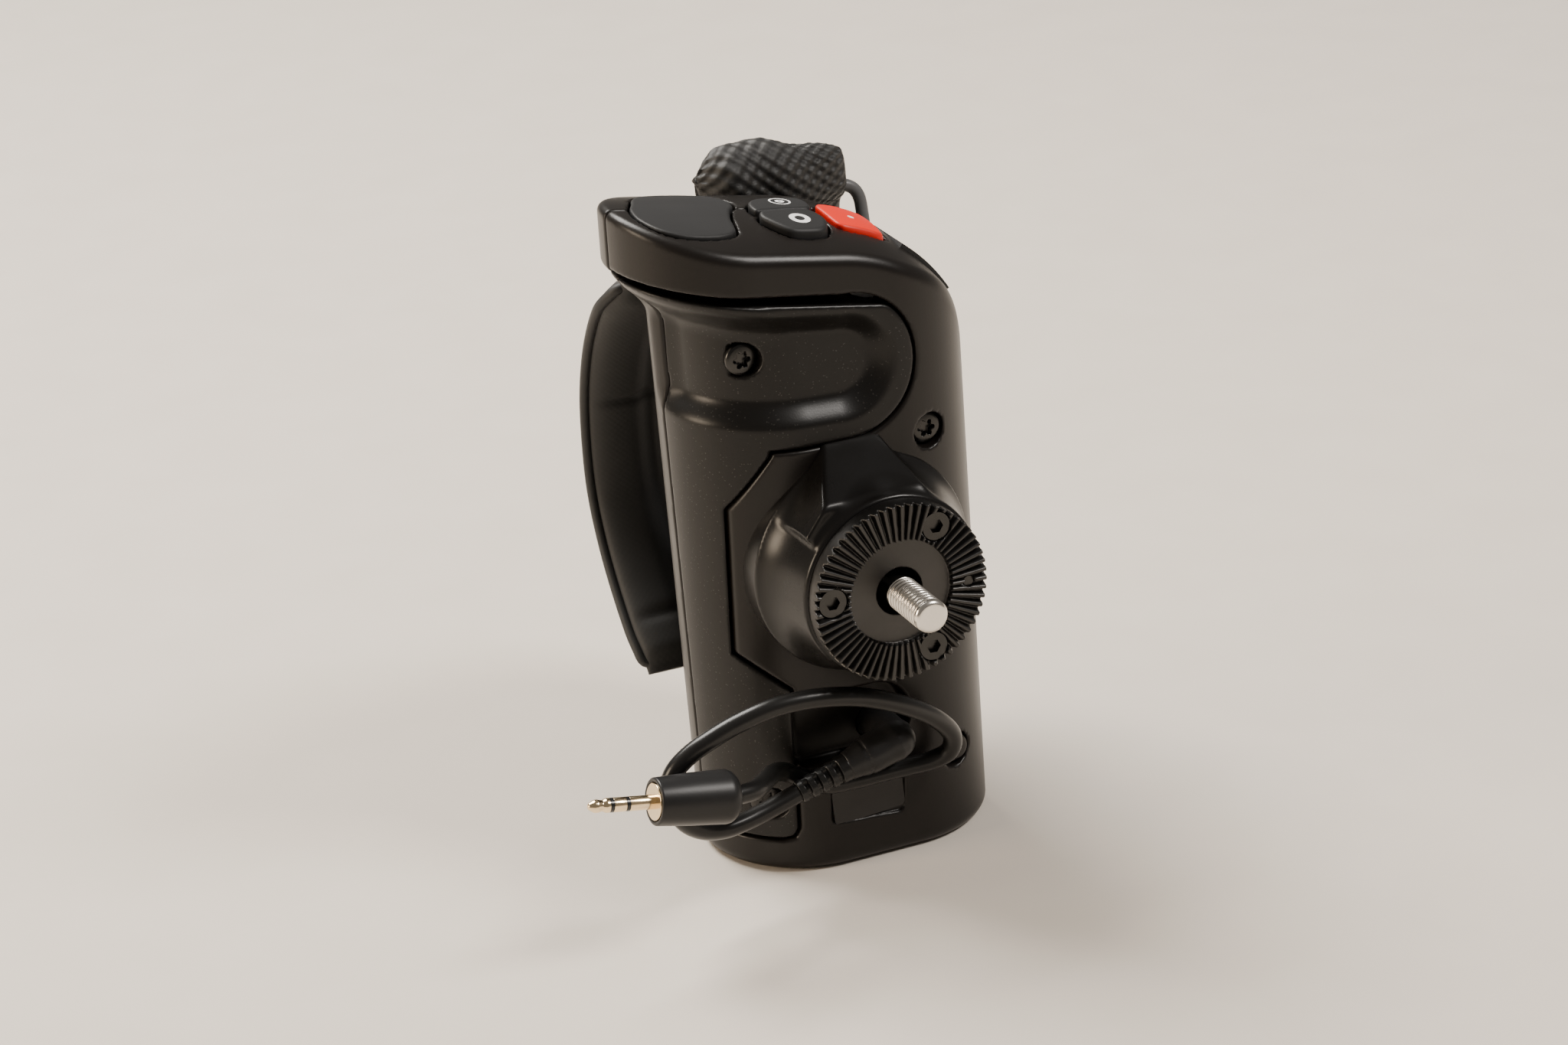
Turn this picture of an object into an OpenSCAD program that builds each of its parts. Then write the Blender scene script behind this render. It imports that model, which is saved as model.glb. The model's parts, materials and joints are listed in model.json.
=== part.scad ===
// Side hand grip for a cinema or video camera: a two-half moulded body with a soft front panel,
// a toothed rosette with a captive bolt, record, focus and iris keys, a zoom rocker,
// a short remote lead with a right-angle plug and a straight jack, and a padded hand strap.
// The rosette faces -Y, the hand strap is on the +Y side, the fingers wrap round the -X side.

/* [Body] */
// Thickness of the grip body from rosette face side to palm side
body_t = 38; // [36:0.5:42]
// Left edge of the body at the base
base_left = -26.5; // [-29:0.5:-24]
// Right edge of the body at the base
base_right = 26.5; // [24:0.5:29]
// How far the left edge leans out for each millimetre of height
lean_left = 0.03; // [0:0.005:0.04]
// How far the right edge leans in for each millimetre of height
lean_right = 0.012; // [0:0.002:0.02]
// Wall of the moulded shells
wall = 2; // [1.6:0.1:2.4]
// Thickness of the floor moulded on the front shell
floor_t = 2.5; // [2:0.5:4]
// Gap left at every visible joint line
joint_gap = 0.3; // [0.2:0.05:0.5]

/* [Head] */
// Left end of the overhanging head
head_left = -37; // [-40:0.5:-34]
// Height of the head's top line above the rosette side of the neck
top_z = 118.5; // [114:0.5:122]
// Fall of the head's top towards the right, in degrees
top_tilt = 10.2; // [6:0.2:14]
// Radius of the right shoulder
shoulder_r = 34; // [30:1:38]
// Radius of the crown across the top
crown_r = 56; // [45:1:80]
// Thickness of the overhanging head
head_t = 11; // [9:0.5:13]
// Depth of the finger recess in the panel
recess_d = 1.8; // [1:0.2:2.4]

/* [Rosette] */
// Outside diameter of the toothed rosette
rosette_d = 31.75; // [31.75:0.05:31.8]
// Number of teeth on the rosette
rosette_teeth = 60; // [48:12:60]
// Inner radius of the toothed band
tooth_in_r = 9.4; // [8.5:0.1:10]
// Radius on which the rosette's screws sit
rosette_screw_r = 12.66; // [12.3:0.05:12.9]
// Height of the rosette's centre above the base
rosette_z = 57.5; // [55:0.5:60]
// Distance of the rosette's face from the body's mid plane
rosette_face = 35; // [33:0.5:37]
// Turn of the rosette's screw pattern
rosette_turn = -3.9; // [-6:0.1:6]

/* [Bolt] */
// Diameter of the bolt's thread
bolt_d = 6; // [5:0.5:6]
// How far the thread stands out of the rosette
bolt_out = 11.5; // [9:0.5:14]
// How far the captive bolt can be pushed back
bolt_travel = 4; // [2:0.5:4]

/* [Keys] */
// Travel of the three push keys
key_travel = 0.8; // [0.4:0.1:0.9]
// Height of the keys above the top
key_h = 1.1; // [0.6:0.1:1.6]

/* [Lead] */
// Diameter of the remote lead
lead_d = 3.4; // [3:0.1:3.8]
// Diameter of the jack's contact
jack_d = 2.5; // [2.5:0.1:2.5]
// Length of the jack's contact
jack_l = 12; // [11:0.5:14]

/* [Strap] */
// Width of the padded strap
pad_w = 50; // [44:1:54]
// Thickness of the padded strap
pad_t = 8; // [6:0.5:9]
// Width of the webbing
webbing_w = 25; // [20:1:25]

/* [Hidden] */
half_t = body_t / 2;
// the flats lie this far inside the round edges, so the two cross cleanly
flat_in = 0.02;
rosette_x = -2;
rosette_h = 3.5;
tooth_depth = 1;
boss_face = rosette_face - rosette_h;
boss_hole_r = 4.25;
spigot_r = 12;
spigot_end = 4;
clip_room_r = 6.5;
plate_t = 3;
top_x0 = -16;
shoulder_x = base_right - lean_right * 85 - shoulder_r + 0.4;
tangent_x = shoulder_x + shoulder_r * sin(top_tilt);
shoulder_z = top_z - tan(top_tilt) * (tangent_x - top_x0) - shoulder_r * cos(top_tilt);
lip_left = -36;
lobe_x = -3;
lobe_z = 93;
lobe_r = 13;
far = 60;
panel_foot_z = 6.5;
panel_right_x = -15.8;
octagon_left = -23.7;
pocket_x0 = -15.5;
pocket_x1 = 5.5;
pocket_z0 = 20.5;
pocket_z1 = 34;
pocket_floor = 15;
socket_pt = [0.2, -24, 24.9];
relief_tip = [-18.6, -24, 19.5];
relief_fall = atan2(socket_pt[2] - relief_tip[2], socket_pt[0] - relief_tip[0]);
elbow_l = 10;
relief_l = 19.56 - elbow_l;
housing_pt = [-34.4, -34, 27.4];
housing_rise = 10.3;
housing_l = 15;
ring_r = 1.15;
ring_x0 = -9;
ring_x1 = 20.4;
ring_y = 21.8;
top_ring_z = 98.5;
low_ring_z = 8.5;
ring_arm = 11.3;
webbing_x = 5.7;
pad_x = -2;
focus_at = [-5.6, 0.6];
iris_at = [-6.6, -8.4];
rec_at = [5.4, -4.6];
rocker_at = [-23.5, -1.5];
key_drop = 3.6;
stem_drop = 4.9;
board_drop = 7.9;
board_posts_at = [[-14, -9], [-12, 9]];
top_keys_tilt = top_tilt;
rec_tilt = asin((rec_at[0] - shoulder_x) / shoulder_r);
shell_screws_at = [[12.3, 78.2], [14.7, 16.5]];
panel_screws_at = [[-19.6, 96.3], [-20.2, 13.7]];
// centre line of the padded strap, as points of Y and Z
pad_line = [[27.5, 98.4], [30.5, 95.5], [36, 89.5], [41, 81.5], [44.3, 72], [45.2, 62], [44.4, 53],
    [41, 44.5], [36.5, 37.5], [31.5, 31.5], [27.4, 27], [26.2, 25.3]];
// route of the lead from the strain relief to the jack's housing
lead_route = [[-18.6, -24, 19.5], [-22, -24.2, 18.6], [-26, -24.6, 17.7], [-30, -25.2, 17.2],
    [-34, -26, 17.3], [-38, -26.8, 18.6], [-41.3, -27.3, 21.2], [-43.3, -27.5, 25],
    [-43.8, -27.6, 28.5], [-42.6, -27.7, 31.4], [-39.8, -28, 33.9], [-36.4, -28.5, 35.8],
    [-31.3, -29, 37.9], [-24.6, -30, 39.8], [-17.7, -30.5, 39.9], [-10.8, -30.5, 38.6],
    [-5.1, -30, 36.4], [0.7, -29, 33.2], [6.5, -27.2, 28.8], [10.4, -25.2, 24],
    [10.8, -23.2, 19.8], [8, -21.6, 17.9], [3.6, -20.9, 17.5], [-0.8, -20.8, 17.5],
    [-7, -20.8, 17.5], [-12, -20.8, 18], [-16.4, -20.2, 20.2], [-20, -21, 22.6],
    [-23.6, -24.6, 24.6], [-27, -29, 25.8], [-30.4, -32.6, 26.7], [-34.4, -34, 27.4]];

$fn = 64;

function left_at(z) = base_left - lean_left * z;
function right_at(z) = base_right - lean_right * z;
function top_at(x) = x < tangent_x ? top_z - tan(top_tilt) * (x - top_x0)
    : shoulder_z + sqrt(pow(shoulder_r, 2) - pow(x - shoulder_x, 2));
function crown_at(y) = crown_r - sqrt(pow(crown_r, 2) - pow(y, 2));
function head_under(x) = top_z - tan(top_tilt) * (x - top_x0) - head_t / cos(top_tilt);

// Everything between two heights, as wide as the whole object
module between(z0, z1) {
    translate([-far, -far, z0]) cube([2 * far, 2 * far, z1 - z0]);
}

// Leaning grip body with fully round edges, drawn in by inset
module grip_core(inset) {
    r = half_t - inset;
    x0 = base_left + half_t;
    x1 = base_right - half_t;
    translate([x0, 0, 0]) rotate([0, -atan(lean_left), 0]) translate([0, 0, -9])
        cylinder(r = r, h = 150);
    translate([x1, 0, 0]) rotate([0, -atan(lean_right), 0]) translate([0, 0, -9])
        cylinder(r = r, h = 150);
    rotate([90, 0, 0]) linear_extrude(2 * (r - flat_in), center = true)
        polygon([[x0 + lean_left * 5, -5], [x1 + lean_right * 5, -5],
            [x1 - lean_right * 130, 130], [x0 - lean_left * 130, 130]]);
}

// Left end of the head or lip: half a round end and a slab that runs into the grip
module left_end(x, z0, z1, inset) {
    r = half_t - inset;
    translate([x + half_t, 0, z0]) {
        cylinder(r = r, h = z1 - z0);
        translate([0, flat_in - r, 0]) cube([2 - x - half_t, 2 * (r - flat_in), z1 - z0]);
    }
}

// Everything above a plane that runs parallel to the sloping top, drop millimetres below it
module above_slope(drop) {
    translate([top_x0, 0, top_z]) rotate([0, top_tilt, 0]) translate([-far, -far, -drop])
        cube([2 * far, 2 * far, far]);
}

// Overhanging head, drawn in by inset
module head_core(inset) {
    intersection() {
        left_end(head_left, 95, 140, inset);
        above_slope(head_t - inset);
    }
}

// Lip of the grip that flares out under the head
module lip() {
    difference() {
        intersection() {
            left_end(lip_left, 96, 118, 0);
            rotate([90, 0, 0]) linear_extrude(4 * half_t, center = true)
                polygon([[-27, 100], [-29, 101.5], [lip_left, 110.5], [lip_left, 118], [-18, 118],
                    [-18, 100]]);
        }
        above_slope(head_t + 0.6);
        grip_core(wall);
    }
}

// Space under the sloping top, the round shoulder and the crown across the top
module under_top(inset) {
    drop = inset + 0.05;
    intersection() {
        rotate([90, 0, 0]) linear_extrude(3 * half_t, center = true) {
            translate([shoulder_x, shoulder_z]) circle(shoulder_r - inset);
            polygon([[-far, -9], [far, -9], [far, shoulder_z], [shoulder_x, shoulder_z],
                [tangent_x - drop * sin(top_tilt), top_at(tangent_x) - drop * cos(top_tilt)],
                [-far, top_at(tangent_x) + (far + tangent_x) * tan(top_tilt)
                    - drop / cos(top_tilt)]]);
        }
        union() {
            translate([shoulder_x, 0, shoulder_z]) rotate([0, top_tilt, 0])
                translate([-80, 0, shoulder_r - crown_r + 0.1]) rotate([0, 90, 0])
                    cylinder(r = crown_r - inset, h = 140);
            translate([-80, -far, -9]) cube([180, 2 * far, 89]);
        }
    }
}

// Zone of the front panel, seen from the rosette side; inset draws its free edges in
module panel_zone(inset) {
    translate([lobe_x, lobe_z]) circle(lobe_r - inset);
    polygon([[-far, 81], [lobe_x, lobe_z - lobe_r + inset], [lobe_x, lobe_z + lobe_r - inset],
        [-24, 109.3 - inset], [-far, 116 - inset]]);
    polygon([[-far, panel_foot_z + inset], [panel_right_x - inset, panel_foot_z + inset],
        [panel_right_x - inset, 35.7], [octagon_left - inset, 42.3], [octagon_left - inset, 69.5],
        [-17 - inset, 79.6], [-17, 82], [-far, 82]]);
}

// Zone of the finger recess in the panel, where the panel is thinner
module recess_zone() {
    translate([lobe_x - 0.5, lobe_z + 0.5]) circle(lobe_r - 2.5);
    polygon([[-far, 84.2], [lobe_x, lobe_z - lobe_r + 3], [lobe_x, lobe_z + lobe_r - 2],
        [-24, 107.5], [-far, 113]]);
}

// Pushes a flat outline, drawn in X and Z, through the front half
module through_front() {
    rotate([90, 0, 0]) linear_extrude(far) children();
}

// Pushes a flat outline, drawn in X and Z, through the whole body
module through_body() {
    rotate([90, 0, 0]) linear_extrude(2 * far, center = true) children();
}

// Finger recess, cut round the left side between the lobe's edges
module finger_cut() {
    difference() {
        rotate([90, 0, 0]) linear_extrude(4 * half_t, center = true) intersection() {
            recess_zone();
            translate([-far, 85]) square([far - 12, 16.5]);
        }
        grip_core(recess_d);
    }
}

// Body without its inside: grip, head and finger recess
module body_outer() {
    intersection() {
        under_top(0);
        union() {
            intersection() {
                grip_core(0);
                between(0, 140);
            }
            head_core(0);
        }
    }
}

// Hollow of the body
module body_inner() {
    intersection() {
        under_top(wall);
        union() {
            intersection() {
                grip_core(wall);
                between(floor_t, 140);
            }
            head_core(wall);
        }
    }
}

module front_side() {
    translate([-far, -far, -1]) cube([2 * far, far, 200]);
}

module rear_side() {
    translate([-far, 0, floor_t]) cube([2 * far, far, 200]);
}

// Places children on the crowned top at a plan point, square to the slope there
module on_top(at, tilt) {
    translate([at[0], at[1], top_at(at[0]) - crown_at(at[1])]) rotate([0, tilt, 0]) children();
}

module rounded_block(w, d, h, r) {
    linear_extrude(h) {
        square([w - 2 * r, d], center = true);
        square([w, d - 2 * r], center = true);
        for (sx = [-1, 1]) for (sy = [-1, 1])
            translate([sx * (w / 2 - r), sy * (d / 2 - r)]) circle(r, $fn = 32);
    }
}

// A hole along Y at an X, Z point
module y_hole(at, r, y0, y1) {
    translate([at[0], y0, at[1]]) rotate([-90, 0, 0]) cylinder(r = r, h = y1 - y0);
}

module key_openings() {
    g = joint_gap;
    on_top(focus_at, top_keys_tilt) translate([0, 0, -8]) rounded_block(10.4 + 2 * g, 7.4 + 2 * g, 12, 2);
    on_top(iris_at, top_keys_tilt) translate([0, 0, -8]) rounded_block(10.4 + 2 * g, 7.8 + 2 * g, 12, 2);
    on_top(rec_at, rec_tilt) translate([0, 0, -8]) rounded_block(9.6 + 2 * g, 11 + 2 * g, 12, 2);
    on_top(rocker_at, top_keys_tilt) translate([0, 0, -8]) rocker_outline(14, g + 0.5);
}

// Zoom rocker's outline: a broad key with one long rounded corner
module rocker_outline(h, grow) {
    linear_extrude(h) {
        translate([1.5, 1]) square([10 + 2 * grow, 22 + 2 * grow], center = true);
        translate([-1, 1]) square([15.4 + 2 * grow, 12 + 2 * grow], center = true);
        for (s = [-1, 1]) translate([-3.4, 1 + s * 5.8]) circle(5.2 + grow, $fn = 48);
    }
}

module thumb_slot(grow) {
    translate([shoulder_x, 0, shoulder_z]) rotate([90, 0, 0])
        rotate_extrude(angle = 22 + grow * 2, start = 30 - grow, $fn = 128)
            translate([shoulder_r - 0.9 - grow, -2 - grow]) square([3, 11.5 + 2 * grow]);
}

module front_shell() {
    color("dimgray") difference() {
        union() {
            difference() {
                intersection() {
                    body_outer();
                    union() {
                        front_side();
                        between(-1, floor_t);
                    }
                }
                body_inner();
            }
            // wall behind the plug pocket and posts for the shell screws
            translate([pocket_x0 + 0.2, -17.5, pocket_z0 - 2])
                cube([pocket_x1 - pocket_x0 + 2, 4, pocket_z1 - pocket_z0 + 4]);
            for (p = shell_screws_at) y_hole(p, 3.8, -16.6, -1);
            intersection() {
                board_posts(false);
                front_side();
            }
        }
        board_posts(true);
        difference() {
            through_front() panel_zone(0);
            above_slope(head_t + 0.4);
        }
        translate([pocket_x0, -far, pocket_z0])
            cube([pocket_x1 - pocket_x0, far - pocket_floor, pocket_z1 - pocket_z0]);
        y_hole([socket_pt[0], socket_pt[2]], 3.7, -far, -10);
        y_hole([rosette_x, rosette_z], spigot_r + 0.1, -far, 0);
        for (p = shell_screws_at) {
            y_hole(p, 3.2, -far, -half_t + 4.2);
            y_hole(p, 1.6, -far, 0);
        }
        label_block(0.1);
        key_openings();
        thumb_slot(0);
    }
}

module label_block(grow) {
    translate([-3.3, -half_t + 0.6, 12.3]) rotate([90, rosette_turn, 0])
        rounded_block(13.6 + 2 * grow, 7 + 2 * grow, 6 + grow, 1);
}

module label_plate() {
    color("black") intersection() {
        translate([0, -0.05, 0]) label_block(0);
        translate([-far, -half_t + 0.1, 0]) cube([2 * far, 5, far]);
    }
}

module rear_shell() {
    color("dimgray") difference() {
        union() {
            difference() {
                intersection() {
                    body_outer();
                    rear_side();
                }
                body_inner();
            }
            intersection() {
                lip();
                rear_side();
            }
            for (p = shell_screws_at) y_hole(p, 3.6, 0.5, 16);
            intersection() {
                board_posts(false);
                rear_side();
            }
            difference() {
                y_hole([rosette_x, rosette_z], 8.8, 9.5, 18);
                y_hole([rosette_x, rosette_z], 7.2, 0, far);
            }
            ring_lug(top_ring_z);
            ring_lug(low_ring_z);
        }
        board_posts(true);
        for (p = shell_screws_at) y_hole(p, 1.25, 0, 9);
        y_hole([rosette_x, rosette_z], 7.2, 0, far);
        for (z = [top_ring_z, low_ring_z]) for (x = [ring_x0 + 3.8, ring_x1 - 3.8 - 4.4])
            translate([x, ring_y, z]) rotate([0, 90, 0]) cylinder(r = ring_r + 0.08, h = 4.4);
        key_openings();
        thumb_slot(0);
    }
}

// Lug on the rear face that a strap ring turns in
module ring_lug(z) {
    x0 = ring_x0 + 3.8;
    w = ring_x1 - ring_x0 - 7.6;
    translate([x0, ring_y, z]) rotate([0, 90, 0]) cylinder(r = 2.7, h = w);
    translate([x0, 14.8, z - 2.7]) cube([w, ring_y - 14.8, 5.4]);
}

module grip_panel() {
    color("black") difference() {
        union() {
            difference() {
                union() {
                    intersection() {
                        grip_core(0);
                        panel_prism();
                    }
                    intersection() {
                        lip();
                        panel_prism();
                    }
                }
                finger_cut();
                grip_core(recess_d + wall);
            }
            // posts that carry the panel's screws
            intersection() {
                grip_core(recess_d);
                for (p = panel_screws_at) y_hole(p, 3.8, -18, -8.5);
            }
        }
        above_slope(head_t + 0.6);
        for (p = panel_screws_at) {
            y_hole(p, 3.1, -far, -half_t + 7.2);
            y_hole(p, 1.6, -far, 0);
        }
    }
}

module panel_prism() {
    translate([0, -joint_gap / 2, 0]) through_front() panel_zone(joint_gap);
}

module screw(at, y_head, y_end, head_r, head_h, shank_r) {
    difference() {
        union() {
            y_hole(at, head_r, y_head, y_head + head_h);
            y_hole(at, shank_r, y_head, y_end);
        }
        // recess for the driver
        for (a = [0, 60, 120]) translate([at[0], y_head - 0.1, at[1]]) rotate([0, a, 0])
            translate([-head_r * 0.45, 0, -0.35]) cube([head_r * 0.9, head_h * 0.7, 0.7]);
    }
}

module shell_screws() {
    color("black") for (p = shell_screws_at) screw(p, -half_t + 2.2, 8.5, 2.8, 1.9, 1.2);
}

module panel_screws() {
    color("black") for (p = panel_screws_at) screw(p, -half_t + 5.3, -4, 2.8, 1.8, 1.2);
}

module boss_block() {
    color([0.09, 0.09, 0.09]) difference() {
        union() {
            translate([rosette_x, -boss_face, rosette_z]) rotate([-90, 0, 0]) {
                cylinder(r = 16.4, h = 3.2);
                translate([0, 0, 3.2]) cylinder(r1 = 16.4, r2 = 18.8, h = boss_face - half_t - 3.2);
                cylinder(r = spigot_r, h = boss_face + spigot_end);
            }
            // shroud above the rosette
            translate([rosette_x - 7.5, 0, rosette_z]) rotate([90, 0, 90]) linear_extrude(15)
                polygon([[-half_t, 10], [-half_t, 21.5], [-half_t - 1.5, 21.5],
                    [-boss_face + 1.5, 17.4], [-boss_face + 1.5, 10]]);
        }
        y_hole([rosette_x, rosette_z], boss_hole_r, -far, 0);
        y_hole([rosette_x, rosette_z], clip_room_r, -8, far);
        for (a = [60, 180, 300]) rosette_spot(a) cylinder(r = 1.3, h = 20);
        rosette_spot(0) cylinder(r = 0.95, h = rosette_h + 3);
        for (a = [45:90:315]) plate_spot(a) translate([0, 0, -8]) cylinder(r = 1.3, h = 8.1);
    }
}

// A spot on the rosette's screw circle, drilling into the boss
module rosette_spot(a) {
    translate([rosette_x, -rosette_face, rosette_z]) rotate([-90, 0, 0])
        rotate([0, 0, -a - rosette_turn]) translate([rosette_screw_r, 0, 0]) children();
}

// A spot on the screw circle of the chassis plate
module plate_spot(a) {
    translate([rosette_x, spigot_end, rosette_z]) rotate([-90, 0, 0]) rotate([0, 0, a])
        translate([9.7, 0, 0]) children();
}

module rosette_ring() {
    color([0.06, 0.06, 0.06]) difference() {
        translate([rosette_x, -rosette_face, rosette_z]) rotate([-90, 0, 0]) difference() {
            cylinder(d = rosette_d, h = rosette_h, $fn = 120);
            translate([0, 0, -1]) cylinder(r = tooth_in_r, h = 1 + tooth_depth);
            translate([0, 0, -1]) cylinder(r = boss_hole_r, h = 9);
            for (i = [0:rosette_teeth - 1]) rotate([0, 0, (i + 0.5) * 360 / rosette_teeth])
                translate([tooth_in_r - 1, 0, 0]) rotate([90, 0, 90]) linear_extrude(12)
                    polygon([[-0.62, -0.1], [0.62, -0.1], [0, tooth_depth]]);
        }
        for (a = [60, 180, 300]) rosette_spot(a) {
            translate([0, 0, -1]) cylinder(r = 2.7, h = 3);
            translate([0, 0, -1]) cylinder(r = 1.6, h = 9);
        }
        rosette_spot(0) translate([0, 0, -1]) cylinder(r = 0.95, h = 9);
    }
}

module rosette_screws() {
    color("black") for (a = [60, 180, 300]) rosette_spot(a) difference() {
        union() {
            translate([0, 0, 0.6]) cylinder(r = 2.5, h = 1.35);
            translate([0, 0, 0.6]) cylinder(r = 1.25, h = 12);
        }
        translate([0, 0, 0.5]) cylinder(r = 1.3, h = 1.1, $fn = 6);
    }
}

module locating_pin() {
    color("silver") rosette_spot(0) translate([0, 0, 0.7]) cylinder(r = 0.9, h = 5);
}

module chassis_plate() {
    color("silver") translate([0, spigot_end, 0]) difference() {
        translate([rosette_x - 18, 0, 36]) cube([33, plate_t, 43]);
        y_hole([rosette_x, rosette_z], 3.3, -1, 9);
        translate([0, -spigot_end, 0]) for (a = [45:90:315]) plate_spot(a)
            translate([0, 0, -1]) cylinder(r = 1.6, h = 9);
        y_hole(shell_screws_at[0], 5, -1, 9);
    }
}

module chassis_screws() {
    color("gray") for (a = [45:90:315]) plate_spot(a) {
        translate([0, 0, plate_t]) cylinder(r = 2.3, h = 1.8);
        translate([0, 0, -7]) cylinder(r = 1.25, h = 7 + plate_t);
    }
}

module fixing_washer() {
    color("silver") translate([rosette_x, spigot_end + plate_t, rosette_z]) rotate([-90, 0, 0])
        difference() {
            cylinder(r = 6.2, h = 1);
            translate([0, 0, -1]) cylinder(r = bolt_d / 2 + 0.06, h = 3);
        }
}

module fixing_screw() {
    color("gainsboro") translate([rosette_x, 0, rosette_z]) rotate([-90, 0, 0]) difference() {
        union() {
            translate([0, 0, -rosette_face - bolt_out]) cylinder(d = bolt_d, h = bolt_out);
            translate([0, 0, -rosette_face]) cylinder(r = 2.5, h = rosette_face - 4);
            translate([0, 0, -4]) cylinder(d = bolt_d, h = 2.95);
            translate([0, 0, -1.1]) cylinder(r = 2.5, h = 1);
            translate([0, 0, -0.15]) cylinder(d = bolt_d, h = 8.15);
            translate([0, 0, spigot_end + plate_t + 1]) cylinder(r = 6.4, h = 5);
        }
        // coin slot and driver socket
        translate([-7, -0.8, 10.8]) cube([14, 1.6, 5]);
        translate([0, 0, 9.6]) cylinder(r = 2.3, h = 5, $fn = 6);
    }
}

module retaining_ring() {
    color("silver") translate([rosette_x, -1, rosette_z]) rotate([-90, 0, 0]) difference() {
        cylinder(r = 5.4, h = 0.8);
        translate([0, 0, -1]) cylinder(r = 2.55, h = 3);
        translate([-1.6, -9, -1]) cube([3.2, 8, 3]);
    }
}

module thumb_rest() {
    color([0.05, 0.05, 0.05]) intersection() {
        thumb_slot(-0.15);
        translate([shoulder_x, 0, shoulder_z]) rotate([90, 0, 0])
            rotate_extrude($fn = 128) translate([0, -30]) square([shoulder_r + 0.1, 60]);
    }
}

module zoom_rocker() {
    color([0.12, 0.12, 0.12]) on_top(rocker_at, top_keys_tilt) difference() {
        union() {
            intersection() {
                translate([0, 0, -2.6]) rocker_outline(3.4, 0);
                translate([0, 1.5, 1.2 - 56]) rotate([0, 90, 0]) cylinder(r = 56, h = 40, center = true, $fn = 128);
            }
            translate([-4, -1.5, -5.4]) cube([8, 4, 3.2]);
            translate([-1.2, 0, -6.2]) cube([2.4, 1, 3]);
        }
        translate([0, 0.5, -3.9]) rotate([0, 90, 0]) cylinder(r = 0.85, h = 40, center = true);
    }
}

module rocker_pin() {
    color("silver") on_top(rocker_at, top_keys_tilt) translate([-6.4, 0.5, -3.9]) rotate([0, 90, 0])
        cylinder(r = 0.8, h = 12.8);
}

module rocker_cradle() {
    color("gray") on_top(rocker_at, top_keys_tilt) difference() {
        for (s = [-1, 1]) translate([s * 5.6 - 0.8, -1.5, -board_drop + 0.03])
            cube([1.6, 4, board_drop - 2.88]);
        translate([0, 0.5, -3.9]) rotate([0, 90, 0]) cylinder(r = 0.8, h = 40, center = true);
    }
}

module rocker_spring() {
    color("silver") on_top(rocker_at, top_keys_tilt) for (s = [-1, 1])
        translate([0, 0.5 + s * 5.4, -board_drop + 0.03]) difference() {
            cylinder(r = 1.5, h = board_drop - 3.4, $fn = 32);
            translate([0, 0, -1]) cylinder(r = 1.1, h = 9, $fn = 32);
        }
}

module zoom_sensor() {
    color("black") on_top(rocker_at, top_keys_tilt)
        translate([-1.6, -1.6, -board_drop + 0.03]) cube([3.2, 4.2, 1.1]);
}

module push_key(w, d, r) {
    translate([0, 0, -2.6]) rounded_block(w, d, 2.6 + key_h, r);
    translate([0, 0, -key_drop - 0.8]) rounded_block(w + 0.2, d + 0.2, 0.9, r);
    translate([0, 0, -key_drop]) rounded_block(w - 1, d - 1, 1.2, 1);
    translate([0, 0, -stem_drop]) cylinder(r = 1.4, h = 1, $fn = 32);
}

module record_button() {
    color([0.85, 0.12, 0.06]) on_top(rec_at, rec_tilt) push_key(9.6, 11, 2);
}

module focus_button() {
    color([0.13, 0.13, 0.13]) on_top(focus_at, top_keys_tilt) push_key(10.4, 7.4, 2);
}

module iris_button() {
    color([0.13, 0.13, 0.13]) on_top(iris_at, top_keys_tilt) push_key(10.4, 7.8, 2);
}

// Push switch under a key, standing on its board at the given depth
module key_switch(foot) {
    top = stem_drop + key_travel + 0.15;
    translate([0, 0, -top - 0.6]) cylinder(r = 1.3, h = 0.6, $fn = 32);
    translate([-2.2, -2.2, -foot]) cube([4.4, 4.4, foot - top - 0.5]);
}

module record_switch() {
    color("gray") on_top(rec_at, rec_tilt) {
        key_switch(9.4);
        // bracket that carries the switch between the front and rear walls
        translate([-0.6, -14.7 - rec_at[1], -10.4]) cube([4, 29.4, 1]);
    }
}

module focus_switch() {
    color("gray") on_top(focus_at, top_keys_tilt) key_switch(board_drop - crown_at(focus_at[1]) - 0.03);
}

module iris_switch() {
    color("gray") on_top(iris_at, top_keys_tilt) key_switch(board_drop - crown_at(iris_at[1]) - 0.03);
}

// Places children in the plane of the sloping top, drop millimetres below it
module in_slope(x, y, drop) {
    translate([top_x0, 0, top_z]) rotate([0, top_tilt, 0]) translate([x - top_x0, y, -drop])
        children();
}

// Posts under the top that the key board is screwed to, with their holes
module board_posts(hole) {
    for (p = board_posts_at) in_slope(p[0], p[1], hole ? board_drop + 1 : board_drop)
        cylinder(r = hole ? 1 : 1.8, h = hole ? 4.5 : board_drop - 2, $fn = 32);
}

// Circuit board under the keys, parallel to the sloping top
module key_board() {
    color("darkgreen") difference() {
        in_slope(-30, -11, board_drop + 1) cube([29.5, 22, 1]);
        board_posts(true);
    }
}

module key_board_screws() {
    color("silver") for (p = board_posts_at) in_slope(p[0], p[1], board_drop + 2) {
        cylinder(r = 1.7, h = 1, $fn = 32);
        cylinder(r = 0.95, h = 5, $fn = 32);
    }
}

// Flat flexible cable from the key board down to the socket board
module ribbon_cable() {
    color("saddlebrown") translate([0, -5.22, 0]) rotate([90, 0, 0]) linear_extrude(0.3)
        polygon([[16.8, 23], [20.8, 23], [20.8, 92], [12.4, 102], [6.6, 104], [6, 101.4],
            [10.6, 99.6], [16.8, 91]]);
}

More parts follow.
